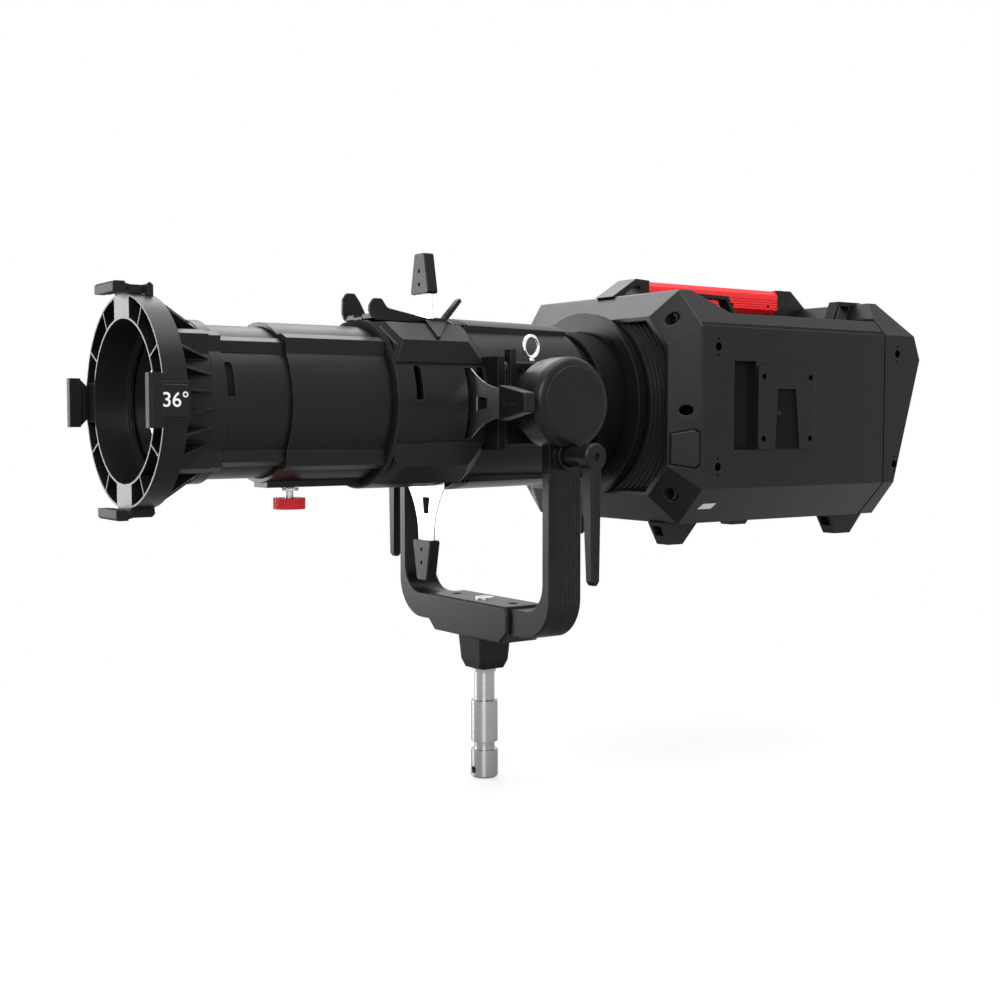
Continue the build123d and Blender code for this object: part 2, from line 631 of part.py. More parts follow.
with BuildPart() as trunnions:
    for side in (1, -1):
        with BuildSketch(beside(side * REAR_R * 0.8)):
            with Locations((sum(SADDLE_Y) / 2, 0)):
                RectangleRounded(SADDLE_Y[1] - SADDLE_Y[0], 2 * SADDLE_Z, 10)
        saddle = extrude(amount=side * (SADDLE_OUT - REAR_R * 0.8))
        chamfer(saddle.faces().sort_by(Axis.X)[-1 if side > 0 else 0].edges(), 2.5)
        with BuildSketch(beside(side * REAR_R * 0.8)):
            with Locations((sum(POST_Y) / 2, 0)):
                Rectangle(POST_Y[1] - POST_Y[0], 2 * POST_Z)
        extrude(amount=side * (SADDLE_OUT + 1 - REAR_R * 0.8))
        with BuildSketch(beside(side * (SADDLE_OUT - 6))):
            with Locations((sum(STRIP_Y) / 2, STRIP_TOP / 2)):
                Rectangle(STRIP_Y[1] - STRIP_Y[0], STRIP_TOP)
        extrude(amount=side * 10)
        with BuildSketch(beside(side * SADDLE_OUT)):
            with Locations((STRIP_Y[1] + 8, SADDLE_Z - 12)):
                Circle(4)
        extrude(amount=-side * 3, mode=Mode.SUBTRACT)
    turned((2 * SADDLE_Y[0], 0), (2 * SADDLE_Y[0], REAR_R + SEAT), (2 * SADDLE_Y[1], REAR_R + SEAT),
           (2 * SADDLE_Y[1], 0), mode=Mode.SUBTRACT)
    with BuildSketch(level(SADDLE_Z)):
        with Locations((EYE_X, EYE_Y)):
            Circle(EYE_STEM_R + RUN)
    extrude(amount=-8, mode=Mode.SUBTRACT)
    for side in (1, -1):
        with BuildSketch(Plane.XZ) as cone:
            Polygon(
                (side * (REAR_R + 8), AXIS_Z), (side * (REAR_R + 8), AXIS_Z + 33),
                (side * (disc_in - 4), AXIS_Z + 36), (side * disc_in, AXIS_Z + DISC_R),
                (side * (disc_in + DISC_T), AXIS_Z + DISC_R), (side * (disc_in + DISC_T), AXIS_Z + TRUNNION_R),
                (side * (HOUSING_OUT - 8.5), AXIS_Z + TRUNNION_R), (side * (HOUSING_OUT - 8.5), AXIS_Z),
                align=None,
            )
        revolve(cone.sketch, axis=TILT_AXIS)
keep(trunnions, "trunnions")

# ------------------------------------------------------------------ gate housing
blade_y = {
    name: SHUTTER_Y + (i - 1.5) * SHUTTER_PITCH
    for i, name in enumerate(("top", "bottom", "near", "far"))
}
pack_front = SHUTTER_Y - 2 * SHUTTER_PITCH
pack_rear = SHUTTER_Y + 2 * SHUTTER_PITCH
mouth = BLADE_HALF + GAP


def gate_half(upper, name):
    """Half of the gate housing, parted at the lens axis."""
    with BuildPart() as piece:
        with BuildSketch(across(GATE_REAR)):
            gate_section()
            Circle(GATE_R - GATE_WALL, mode=Mode.SUBTRACT)
        extrude(amount=GATE_REAR - GATE_FRONT)
        turned((GATE_REAR - GATE_BEVEL, BAND_R), (GATE_REAR, GATE_R), (GATE_REAR + 1, GATE_R),
               (GATE_REAR + 1, 2 * GATE_R), (GATE_REAR - GATE_BEVEL, 2 * GATE_R), mode=Mode.SUBTRACT)
        turned((GATE_FRONT - 1, GATE_R - 4), (GATE_FRONT, GATE_R - 4), (GATE_FRONT + 12, BAND_R),
               (GATE_FRONT + 12, 2 * GATE_R), (GATE_FRONT - 1, 2 * GATE_R), mode=Mode.SUBTRACT)
        with BuildSketch(across(GATE_FRONT + 4)):
            gate_section(-4)
            tube_section(SLIDE)
        with BuildSketch(across(GATE_FRONT)):
            Circle(GATE_R - GATE_WALL + 1)
        extrude(amount=-4)
        with BuildSketch(across(GATE_FRONT - 1)):
            tube_section(SLIDE)
        extrude(amount=-12, mode=Mode.SUBTRACT)
        with Locations((0, SHUTTER_Y, AXIS_Z)):
            Box(2 * mouth, pack_rear - pack_front + 4, 4 * GATE_R, mode=Mode.SUBTRACT)
            Box(4 * GATE_R, pack_rear - pack_front + 4, 2 * mouth, mode=Mode.SUBTRACT)
        if upper:
            for side in (1, -1):
                for y in VENT_Y:
                    upright_vent(side * 0.7 * GATE_R, y, VENT_Z, side * 0.4 * GATE_R)
            with Locations((0, (SLOT_FRONT + SLOT_REAR) / 2, AXIS_Z + GATE_R)):
                Box(2 * SLOT_HALF, SLOT_REAR - SLOT_FRONT, GATE_R, mode=Mode.SUBTRACT)
            with Locations((0, (GATE_FRONT + COVER_REAR) / 2, AXIS_Z + COVER_SEAT + GATE_R / 2)):
                Box(2 * (COVER_HALF + GAP + 1), COVER_REAR - GATE_FRONT + 1, GATE_R, mode=Mode.SUBTRACT)
            with BuildSketch(beside(-LUG_HALF)):
                with Locations((COVER_PIN_Y, COVER_PIN_Z - 4)):
                    Rectangle(6, 9)
            extrude(amount=2 * LUG_HALF)
            with BuildSketch(beside(-COVER_HALF)):
                with Locations((COVER_PIN_Y, COVER_PIN_Z)):
                    Circle(COVER_PIN_R)
            extrude(amount=2 * COVER_HALF)
        split(bisect_by=level(0), keep=Keep.TOP if upper else Keep.BOTTOM)
    keep(piece, name)


gate_half(True, "gate_upper")
gate_half(False, "gate_lower")

with BuildPart() as gate_plates:
    for front, bore in ((SLOT_REAR + 4, APERTURE_R), (pack_front - 1.6, APERTURE_R + 6), (pack_rear, APERTURE_R + 8)):
        with BuildSketch(across(front + 1.6)):
            Circle(GATE_R - GATE_WALL - SEAT)
            Circle(bore, mode=Mode.SUBTRACT)
        extrude(amount=1.6)
keep(gate_plates, "gate_plates")

# ------------------------------------------------------------------ shutters
outward = {"top": (0, 0, 1), "bottom": (0, 0, -1), "near": (1, 0, 0), "far": (-1, 0, 0)}


def shutter(name):
    """Steel framing shutter and its two-sided handle; local y points outwards."""
    foot = SHUTTER_REST[name]
    out = Vector(*outward[name])
    face = Plane(origin=(0, blade_y[name], AXIS_Z), x_dir=out.cross(Vector(0, -1, 0)), z_dir=(0, -1, 0))
    root = foot - FLARE
    with BuildPart() as blade:
        with BuildSketch(face):
            with BuildLine():
                Polyline((-BLADE_HALF, root), (-BLADE_HALF, foot - BLADE_L), (BLADE_HALF, foot - BLADE_L),
                         (BLADE_HALF, root))
                ThreePointArc((BLADE_HALF, root), (NECK_HALF + 4.7, foot - FLARE / 2), (NECK_HALF, foot - 3))
                Polyline((NECK_HALF, foot - 3), (NECK_HALF, foot), (TANG_HALF, foot), (TANG_HALF, foot + 20),
                         (-TANG_HALF, foot + 20), (-TANG_HALF, foot), (-NECK_HALF, foot), (-NECK_HALF, foot - 3))
                ThreePointArc((-NECK_HALF, foot - 3), (-NECK_HALF - 4.7, foot - FLARE / 2), (-BLADE_HALF, root))
            make_face()
            Polygon((-7, foot - FLARE + 10), (7, foot - FLARE + 10), (4.5, foot - FLARE / 2), (-4.5, foot - FLARE / 2),
                    align=None, mode=Mode.SUBTRACT)
        extrude(amount=BLADE_T / 2, both=True)
    keep(blade, f"shutter_blade_{name}")
    with BuildPart() as grip:
        with BuildSketch(face):
            Polygon((-HANDLE_ROOT, foot), (HANDLE_ROOT, foot), (HANDLE_TIP, foot + HANDLE_L),
                    (-HANDLE_TIP, foot + HANDLE_L), align=None)
        extrude(amount=HANDLE_T / 2, both=True)
        fillet(grip.edges().filter_by(Axis.Y), 2.5)
        chamfer(grip.faces().sort_by(Axis.Y)[0].edges(), 0.8)
        chamfer(grip.faces().sort_by(Axis.Y)[-1].edges(), 0.8)
        with BuildSketch(face):
            with Locations((0, foot + 10)):
                Rectangle(2 * (TANG_HALF + SEAT), 21 + SEAT)
        extrude(amount=BLADE_T / 2 + SEAT, both=True, mode=Mode.SUBTRACT)
        with BuildSketch(face.offset(HANDLE_T / 2)):
            with Locations((0, foot + 9.5), (0, foot + 23)):
                Circle(2.0)
        extrude(amount=-2.0, mode=Mode.SUBTRACT)
    keep(grip, f"shutter_handle_{name}")


for shutter_name in SHUTTER_REST:
    shutter(shutter_name)

# ------------------------------------------------------------------ accessory slot cover
cover_t = 2.4
cover_low = COVER_SEAT + 0.4
ear_low = COVER_PIN_Z - 1.0
slope_x = BAND_X - SHOULDER_RUN[0]
slope_face = Plane(origin=(slope_x, 0, AXIS_Z + BAND_TOP_Z + SHOULDER_RUN[1]), x_dir=(0, 1, 0),
                   z_dir=(SHOULDER_RUN[1], 0, SHOULDER_RUN[0]))

with BuildPart() as slot_cover:
    with BuildSketch(beside(-COVER_HALF)):
        Polygon(
            (COVER_PIN_Y - 2.6, COVER_PIN_Z - 1.6), (COVER_PIN_Y - 2.6, COVER_PIN_Z + 3),
            (COVER_PIN_Y + 4, COVER_PIN_Z + 3), (COVER_PIN_Y + 10, cover_low + cover_t),
            (COVER_REAR - GAP, cover_low + cover_t), (COVER_REAR - GAP, cover_low),
            (COVER_PIN_Y + 3, cover_low), align=None,
        )
    extrude(amount=2 * COVER_HALF)
    for x, top in ((-COVER_HALF, EAR_FAR), (COVER_HALF - EAR_T, EAR_NEAR)):
        with BuildSketch(beside(x)) as ear:
            Polygon(
                (COVER_PIN_Y - 3.5, ear_low + 0.5), (COVER_PIN_Y - 6, ear_low + 7), (COVER_PIN_Y - 5.5, top - 7),
                (COVER_PIN_Y - 1, top), (COVER_PIN_Y + 8, top), (COVER_PIN_Y + 14, top - 8),
                (COVER_PIN_Y + 20, COVER_PIN_Z + 7), (COVER_PIN_Y + 20, ear_low), align=None,
            )
            fillet(ear.vertices().group_by(Axis.Y)[-1], EAR_T)
        extrude(amount=EAR_T)
    with BuildSketch(beside(COVER_HALF - EAR_T)):
        Polygon((COVER_PIN_Y + 10, COVER_PIN_Z + 9.5), (COVER_REAR, cover_low + cover_t), (COVER_REAR, cover_low),
                (COVER_PIN_Y + 10, cover_low), align=None)
    extrude(amount=EAR_T)
    with Locations(((COVER_HALF - EAR_T + slope_x) / 2, COVER_REAR - 10, AXIS_Z + cover_low)):
        Box(slope_x - COVER_HALF + EAR_T, 20, cover_t, align=(Align.CENTER, Align.CENTER, Align.MIN))
    with BuildSketch(slope_face.offset(GAP)):
        Polygon((COVER_REAR - 25, 3), (COVER_REAR + 1, 3), (COVER_REAR - 25, -29), (COVER_REAR - 28, -29), align=None)
    extrude(amount=2)
    with BuildSketch(beside(TAB_X - 7)):
        Polygon((COVER_REAR - 5, cover_low), (COVER_REAR + 1, cover_low), (COVER_REAR + 19, COVER_SEAT + 21),
                (COVER_REAR + 17, COVER_SEAT + 24), (COVER_REAR + 14.5, COVER_SEAT + 22),
                (COVER_REAR - 3, cover_low + cover_t), align=None)
    extrude(amount=7)
    with BuildSketch(beside(-COVER_HALF)):
        with Locations((COVER_PIN_Y, COVER_PIN_Z)):
            Circle(COVER_PIN_R + RUN)
    extrude(amount=2 * COVER_HALF, mode=Mode.SUBTRACT)
    with Locations((0, COVER_PIN_Y, AXIS_Z + COVER_PIN_Z)):
        Box(2 * (LUG_HALF + GAP), 12, 12, mode=Mode.SUBTRACT)
keep(slot_cover, "slot_cover")

# ------------------------------------------------------------------ sleeve
slot_half = KNOB_STEM_R + 2
slot_rear = KNOB_Y + FOCUS_TRAVEL + KNOB_STEM_R + 2
slot_front = KNOB_Y - KNOB_STEM_R - 2
rail_low = -(TUBE_R + SLIDE + SLEEVE_WALL + RAIL_T)


def sleeve_half(upper, name):
    """Half of the fixed sleeve that the lens tube slides in; the lower half has the focus rail."""
    with BuildPart() as piece:
        with BuildSketch(across(SLEEVE_REAR)):
            tube_section(SLIDE + SLEEVE_WALL)
        extrude(amount=SLEEVE_REAR - SLEEVE_FRONT)
        if not upper:
            with BuildSketch(across(SLEEVE_REAR)):
                with Locations((0, rail_low + 5)):
                    Rectangle(RAIL_W, 10)
            extrude(amount=SLEEVE_REAR - SLEEVE_FRONT - 3)
        with BuildSketch(across(SLEEVE_REAR)):
            tube_section(SLIDE)
        extrude(amount=SLEEVE_REAR - SLEEVE_FRONT, mode=Mode.SUBTRACT)
        if not upper:
            with BuildSketch(level(rail_low)):
                with Locations((0, (slot_front + slot_rear) / 2)):
                    SlotOverall(slot_rear - slot_front, 2 * slot_half, rotation=90)
            extrude(amount=20, mode=Mode.SUBTRACT)
        split(bisect_by=level(0), keep=Keep.TOP if upper else Keep.BOTTOM)
    keep(piece, name)


sleeve_half(True, "sleeve_upper")
sleeve_half(False, "sleeve_lower")

# ------------------------------------------------------------------ lens tube
tube_bore = TUBE_R - TUBE_WALL
collar_rear = HUB_END + 11.5


def tube_half(upper, name):
    """Half of the sliding lens tube; both halves are held in the ring's hub."""
    with BuildPart() as piece:
        with BuildSketch(across(TUBE_REAR)):
            tube_section()
            Circle(tube_bore, mode=Mode.SUBTRACT)
        extrude(amount=TUBE_REAR - HUB_END)
        with BuildSketch(across(collar_rear)):
            ridged(TUBE_R, RIDGE_X, RIDGE_FOOT - 14, RIDGE_Z, (9, 4), 4.0)
            Circle(tube_bore, mode=Mode.SUBTRACT)
        extrude(amount=collar_rear - HUB_END)
        for side in (1, -1):
            upright_vent(side * 0.7 * TUBE_R, collar_rear + 5.5, (4, 35), side * 0.5 * TUBE_R)
        turned((collar_rear, tube_bore), (collar_rear, tube_bore + LINER_T), (collar_rear + 11, tube_bore + LINER_T),
               (collar_rear + 11, tube_bore))
        if not upper:
            with BuildSketch(level(-TUBE_R - 1)):
                with Locations((0, KNOB_Y)):
                    Circle(KNOB_STEM_R + RUN)
            extrude(amount=12, mode=Mode.SUBTRACT)
        split(bisect_by=level(0), keep=Keep.TOP if upper else Keep.BOTTOM)
    keep(piece, name)


tube_half(True, "lens_tube_upper")
tube_half(False, "lens_tube_lower")

# ------------------------------------------------------------------ front ring
ring_rear = RING_FRONT + RING_T
lens_r = tube_bore - 0.5
ring_web_r = RING_BORE + RING_RIM
pad_half = 18.0

with BuildPart() as front_ring:
    turned(
        (RING_FRONT, RING_BORE), (RING_FRONT, RING_R), (ring_rear, RING_R), (ring_rear, HUB_R),
        (HUB_END, HUB_R), (HUB_END, lens_r - 4), (FRONT_LENS_Y + 8, lens_r - 4),
        (FRONT_LENS_Y + 8, lens_r + SEAT), (FRONT_LENS_Y - 10, lens_r + SEAT), (FRONT_LENS_Y - 10, lens_r + 2.5),
    )
    with BuildSketch(across(RING_FRONT)) as pockets:
        Circle(RING_R - RING_RIM)
        Circle(ring_web_r, mode=Mode.SUBTRACT)
        Rectangle(2 * pad_half, 2 * RING_R, mode=Mode.SUBTRACT)
        Rectangle(2 * RING_R, 2 * pad_half, mode=Mode.SUBTRACT)
        with PolarLocations(0, 12):
            Rectangle(RING_R, RING_WEB, align=(Align.MIN, Align.CENTER), mode=Mode.SUBTRACT)
    extrude(amount=-RING_POCKET, mode=Mode.SUBTRACT)
    for quarter in range(4):
        for spread in (-30, -18, -6, 6, 18, 30):
            with BuildSketch(radial(90 * quarter + spread)) as fin:
                Polygon((ring_rear, HUB_R - 1), (ring_rear, RING_R - 1), (HUB_END - 2, HUB_R + 0.5),
                        (HUB_END - 2, HUB_R - 1), align=None)
            extrude(amount=FIN_T / 2, both=True)
    with BuildSketch(across(HUB_END)):
        ridged(HUB_R, RIDGE_X + 5, RIDGE_FOOT - 14, RIDGE_Z + 5, (9, 4))
        Circle(HUB_R - 1, mode=Mode.SUBTRACT)
    extrude(amount=HUB_END - ring_rear - 6)
keep(front_ring, "front_ring")

hook_t = TAB_H + 2.0
bar_rear = RING_FRONT - TAB_REACH + TAB_BAR


def hook(angle):
    """One colour-frame hook: a stem on the ring and a cross bar in front of it."""
    plane = radial(angle)
    with BuildSketch(plane) as stem:
        Polygon(
            (ring_rear, RING_R - 4), (RING_FRONT, RING_R - 4), (RING_FRONT, RING_R + 4.5),
            (bar_rear, RING_R + 4.5), (bar_rear, RING_R - 0.5), (bar_rear - TAB_BAR, RING_R - 0.5),
            (bar_rear - TAB_BAR, RING_R + TAB_H), (bar_rear - TAB_BAR + 2, RING_R + hook_t),
            (bar_rear, RING_R + hook_t), (RING_FRONT + 2, RING_R + TAB_H), (ring_rear - 2, RING_R + TAB_H),
            (ring_rear + 1, RING_R + TAB_H - 3), align=None,
        )
    extrude(stem.sketch, amount=TAB_STEM / 2, both=True)
    with BuildSketch(plane) as bar:
        Polygon(
            (bar_rear, RING_R + 1), (bar_rear - 2, RING_R - 0.5), (bar_rear - TAB_BAR, RING_R - 0.5),
            (bar_rear - TAB_BAR, RING_R + TAB_H), (bar_rear - TAB_BAR + 2, RING_R + hook_t),
            (bar_rear, RING_R + hook_t), align=None,
        )
    extrude(bar.sketch, amount=TAB_W / 2, both=True)
    outer = Plane(origin=plane.origin, x_dir=plane.x_dir, z_dir=plane.y_dir).offset(RING_R + 4.5)
    with BuildSketch(outer) as neck:
        Polygon((bar_rear - 1, TAB_W / 2), (bar_rear, TAB_W / 2), (bar_rear + 7, TAB_STEM / 2),
                (bar_rear + 7, -TAB_STEM / 2), (bar_rear, -TAB_W / 2), (bar_rear - 1, -TAB_W / 2), align=None)
    extrude(neck.sketch, amount=TAB_H - 4.5)


latch_pin_y = ring_rear - 2.5
latch_pin_z = RING_R + 4.9
latch_pin_r = 1.2

with BuildPart() as frame_hooks:
    for angle in (0, 180, 270):
        hook(angle)
    for sx in (1, -1):
        with BuildSketch(beside(sx * (TAB_W / 2 - 5 + GAP))):
            Polygon((latch_pin_y - 4, RING_R - 6), (latch_pin_y - 4, latch_pin_z + 2),
                    (latch_pin_y - 1, latch_pin_z + 4.5), (latch_pin_y + 2, latch_pin_z + 2),
                    (latch_pin_y + 2, RING_R - 6), align=None)
        extrude(amount=sx * 4.0)
    turned((ring_rear + 9, 0), (ring_rear + 9, RING_R + SEAT), (RING_FRONT, RING_R + SEAT), (RING_FRONT, 0),
           mode=Mode.SUBTRACT)
    with BuildSketch(beside(0)) as pin:
        with Locations((latch_pin_y, latch_pin_z)):
            Circle(latch_pin_r)
    extrude(pin.sketch, amount=TAB_W / 2 - 3, both=True)
keep(frame_hooks, "frame_hooks")

with BuildPart() as frame_latch:
    hook(90)
    with BuildSketch(radial(90)) as barrel:
        with Locations((latch_pin_y, latch_pin_z)):
            Circle(latch_pin_z - RING_R - 1.3)
    extrude(barrel.sketch, amount=TAB_W / 2 - 5, both=True)
    turned((ring_rear + 9, 0), (ring_rear + 9, RING_R + GAP), (RING_FRONT, RING_R + GAP), (RING_FRONT, 0),
           mode=Mode.SUBTRACT)
    with BuildSketch(beside(0)) as relief:
        Polygon((ring_rear + 6, RING_R - 6), (ring_rear + 6, RING_R + 4.0), (latch_pin_y + 4, RING_R + 2.4),
                (latch_pin_y, RING_R + 1.4), (latch_pin_y, RING_R - 6), align=None)
    extrude(relief.sketch, amount=TAB_W, both=True, mode=Mode.SUBTRACT)
    with BuildSketch(radial(90)) as bore:
        with Locations((latch_pin_y, latch_pin_z)):
            Circle(latch_pin_r + RUN)
    extrude(bore.sketch, amount=TAB_W, both=True, mode=Mode.SUBTRACT)
keep(frame_latch, "frame_latch")

# ------------------------------------------------------------------ lenses
with BuildPart() as objective_lenses:
    with BuildSketch(beside(0)) as section:
        with BuildLine():
            Polyline((FRONT_LENS_Y - 4, lens_r), (FRONT_LENS_Y + 8, lens_r), (FRONT_LENS_Y + 8, 0),
                     (FRONT_LENS_Y - 16, 0))
            ThreePointArc((FRONT_LENS_Y - 16, 0), (FRONT_LENS_Y - 13, lens_r / 2), (FRONT_LENS_Y - 4, lens_r))
        make_face()
        with BuildLine():
            Polyline((REAR_LENS_Y + 4, lens_r), (REAR_LENS_Y - 3, lens_r), (REAR_LENS_Y - 3, 0),
                     (REAR_LENS_Y + 18, 0))
            ThreePointArc((REAR_LENS_Y + 18, 0), (REAR_LENS_Y + 14.5, lens_r / 2), (REAR_LENS_Y + 4, lens_r))
        make_face()
    revolve(section.sketch, axis=LENS_AXIS)
keep(objective_lenses, "objective_lenses")

with BuildPart() as lens_retainers:
    turned((FRONT_LENS_Y - 10, lens_r - 4), (FRONT_LENS_Y - 10, lens_r), (FRONT_LENS_Y - 4, lens_r),
           (FRONT_LENS_Y - 6.5, lens_r - 4))
    turned((REAR_LENS_Y - 8, lens_r - 5), (REAR_LENS_Y - 8, tube_bore - SEAT),
           (REAR_LENS_Y - 3, tube_bore - SEAT), (REAR_LENS_Y - 3, lens_r - 5))
    turned((REAR_LENS_Y + 10, lens_r - 4), (REAR_LENS_Y + 10, tube_bore - SEAT),
           (REAR_LENS_Y + 4, tube_bore - SEAT), (REAR_LENS_Y + 6.8, lens_r - 4))
keep(lens_retainers, "lens_retainers")

# ------------------------------------------------------------------ focus knob
with BuildPart() as focus_knob:
    with BuildSketch(level(-tube_bore - 0.5)):
        with Locations((0, KNOB_Y)):
            Circle(KNOB_STEM_R)
    extrude(amount=KNOB_Z + tube_bore + 0.5)
    with BuildSketch(level(rail_low - 3 * GAP)):
        with Locations((0, KNOB_Y)):
            Circle(KNOB_STEM_R + 5)
    extrude(amount=-2.5)
    with BuildSketch(level(KNOB_Z)):
        with Locations((0, KNOB_Y)):
            Circle(KNOB_R)
        with Locations((0, KNOB_Y)):
            with PolarLocations(KNOB_R + 0.2, KNOB_FLUTES):
                Circle(1.1, mode=Mode.SUBTRACT)
    extrude(amount=-KNOB_H)
keep(focus_knob, "focus_knob")

# ------------------------------------------------------------------ rear barrel
def rear_half(upper, name):
    """Half of the rear barrel, which narrows towards the lamp's mount."""
    with BuildPart() as piece:
        with BuildSketch(across(REAR_END)):
            Circle(REAR_R)
            Circle(REAR_R - REAR_WALL, mode=Mode.SUBTRACT)
        extrude(amount=REAR_END - REAR_START)
        turned((REAR_END, REAR_R - REAR_WALL), (REAR_END, REAR_R), (TAIL_END, TAIL_R),
               (TAIL_END, TAIL_R - REAR_WALL))
        split(bisect_by=level(0), keep=Keep.TOP if upper else Keep.BOTTOM)
    keep(piece, name)


rear_half(True, "rear_barrel_upper")
rear_half(False, "rear_barrel_lower")


with BuildPart() as vent_covers:
    turned((VENT_FRONT, REAR_R - 12), (VENT_FRONT, VENT_R), (REAR_END, VENT_R - 2),
           (REAR_END, REAR_R - 12))
    for i in range(VENT_RIBS):
        y = VENT_FRONT + 3.5 + VENT_PITCH * i
        turned((y, VENT_R - 3), (y, VENT_R + 1), (y + 2.0, VENT_R + 1), (y + 2.0, VENT_R - 3),
               mode=Mode.SUBTRACT)
    with Locations((0, 0, AXIS_Z)):
        Box(2 * VENT_HALF, 3 * REAR_END, 4 * VENT_R, mode=Mode.INTERSECT)
    with BuildSketch(across(REAR_END + 1)):
        Circle(REAR_R + SEAT)
    extrude(amount=2 * REAR_END, mode=Mode.SUBTRACT)
    with BuildSketch(across(GATE_REAR + SEAT)):
        gate_section(SEAT)
    extrude(amount=GATE_REAR - VENT_FRONT + GAP, mode=Mode.SUBTRACT)
keep(vent_covers, "vent_covers")

with BuildPart() as condenser_cell:
    turned((CELL_Y, CELL_R - 3), (CELL_Y, REAR_R - REAR_WALL - SEAT), (CELL_Y + 6, REAR_R - REAR_WALL - SEAT),
           (CELL_Y + 6, CELL_R + 6), (CELL_Y + 44, CELL_R + 6), (CELL_Y + 44, CELL_R + SEAT),
           (CELL_Y + 3, CELL_R + SEAT), (CELL_Y + 3, CELL_R - 3))
    turned((CELL_Y + 20, CELL_R - 5), (CELL_Y + 20, CELL_R + 1), (CELL_Y + 26, CELL_R + 1),
           (CELL_Y + 26, CELL_R - 5))
keep(condenser_cell, "condenser_cell")

with BuildPart() as condenser_lenses:
    for flat, rim, crown in ((CELL_Y + 20, CELL_Y + 12, CELL_Y), (CELL_Y + 26, CELL_Y + 34, CELL_Y + 46)):
        with BuildSketch(beside(0)) as section:
            with BuildLine():
                Polyline((rim, CELL_R), (flat, CELL_R), (flat, 0), (crown, 0))
                ThreePointArc((crown, 0), (crown + (rim - crown) / 4, CELL_R / 2), (rim, CELL_R))
            make_face()
        revolve(section.sketch, axis=LENS_AXIS)
keep(condenser_lenses, "condenser_lenses")

# ------------------------------------------------------------------ bayonet flange
flange_front = MOUNT_STEP - FLANGE_T
hub_bore = TAIL_R - 8
hub_back = MOUNT_BACK + 4.0

with BuildPart() as mount_flange:
    turned((TAIL_END, hub_bore), (TAIL_END, TAIL_R), (flange_front, TAIL_R), (flange_front, FLANGE_R),
           (MOUNT_STEP, FLANGE_R), (MOUNT_STEP, BAYONET_R), (hub_back, BAYONET_R), (hub_back, hub_bore))
    turned((TAIL_END - 16, FLANGE_R - FLANGE_RIM), (TAIL_END - 16, FLANGE_R - 2), (TAIL_END - 14, FLANGE_R),
           (flange_front, FLANGE_R), (flange_front, FLANGE_R - FLANGE_RIM))
    with BuildSketch(across(hub_back)):
        with PolarLocations((BAYONET_LUG_R + BAYONET_R - 4) / 2, 3):
            Rectangle(BAYONET_LUG_R - BAYONET_R + 4, 34)
        Circle(hub_bore, mode=Mode.SUBTRACT)
    extrude(amount=hub_back - MOUNT_BACK - GAP)
    for i in range(FLANGE_FINS):
        with BuildSketch(radial(360 / FLANGE_FINS * (i + 0.5))) as fin:
            Polygon((TAIL_END - 16, TAIL_R + 4), (TAIL_END - 16, FLANGE_R - 3), (TAIL_END - 13, FLANGE_R),
                    (flange_front, FLANGE_R), (flange_front, TAIL_R - 1), (TAIL_END, TAIL_R - 1), align=None)
        extrude(fin.sketch, amount=FIN_T / 2, both=True)
    turned((REAR_END, 0), (REAR_END, REAR_R + SEAT), (TAIL_END, TAIL_R + SEAT), (TAIL_END, 0),
           mode=Mode.SUBTRACT)
keep(mount_flange, "mount_flange")

# ------------------------------------------------------------------ safety eye
with BuildPart() as safety_eye:
    ring_plane = Plane(origin=(EYE_X, EYE_Y, AXIS_Z + EYE_Z), x_dir=(0, 0, 1),
                       z_dir=(cos(radians(EYE_TURN)), sin(radians(EYE_TURN)), 0))
    with Locations(ring_plane):
        Torus(EYE_R, EYE_WIRE_R)
    for z, r, length in ((EYE_Z - EYE_R, EYE_STEM_R, EYE_Z - EYE_R - SADDLE_Z + 6.5), (SADDLE_Z + 2.4, 4.0, 2.0)):
        with BuildSketch(level(z)):
            with Locations((EYE_X, EYE_Y)):
                Circle(r)
        extrude(amount=-length)
keep(safety_eye, "safety_eye")


# ------------------------------------------------------------------ lamp head
def lamp_outline(corners, inset=0.0, mode=Mode.ADD):
    """Eight-sided section of the lamp head, from the corners of its near half."""
    near = [(x - inset, z - inset if z > 0 else z + inset) for x, z in corners]
    Polygon(*near, *[(-x, z) for x, z in reversed(near)], align=None, mode=mode)


def lamp_stretch(corners, front, back, inset=0.0, mode=Mode.ADD):
    """Straight stretch of the lamp head between two places along the beam."""
    with BuildSketch(across(back)) as section:
        lamp_outline(corners, inset)
    extrude(section.sketch, amount=back - front, mode=mode)


def panel_holes(sx, places):
    """Blind screw holes in a side of the lamp head."""
    with BuildSketch(beside(sx * LAMP_HALF)) as holes:
        with Locations(*places):
            Circle(PANEL_HOLE_R)
    extrude(holes.sketch, amount=-sx * SEAM_T, mode=Mode.SUBTRACT)


with BuildPart() as lamp_ring:
    turned((MOUNT_FRONT, MOUNT_BORE), (MOUNT_FRONT, MOUNT_R), (MOUNT_BACK, MOUNT_R),
           (MOUNT_BACK, BAYONET_R + 1), (MOUNT_STEP, BAYONET_R + 1), (MOUNT_STEP, MOUNT_BORE))
    with BuildSketch(across(MOUNT_STEP)):
        for turn in (35, 155, 275):
            ends = [radians(turn - NOTCH_HALF), radians(turn + NOTCH_HALF)]
            Polygon((0, 0), *[(1.2 * NOTCH_R * cos(a), 1.2 * NOTCH_R * sin(a)) for a in ends], align=None)
        Circle(NOTCH_R, mode=Mode.INTERSECT)
    extrude(amount=MOUNT_STEP - MOUNT_FRONT, mode=Mode.SUBTRACT)
keep(lamp_ring, "lamp_ring")

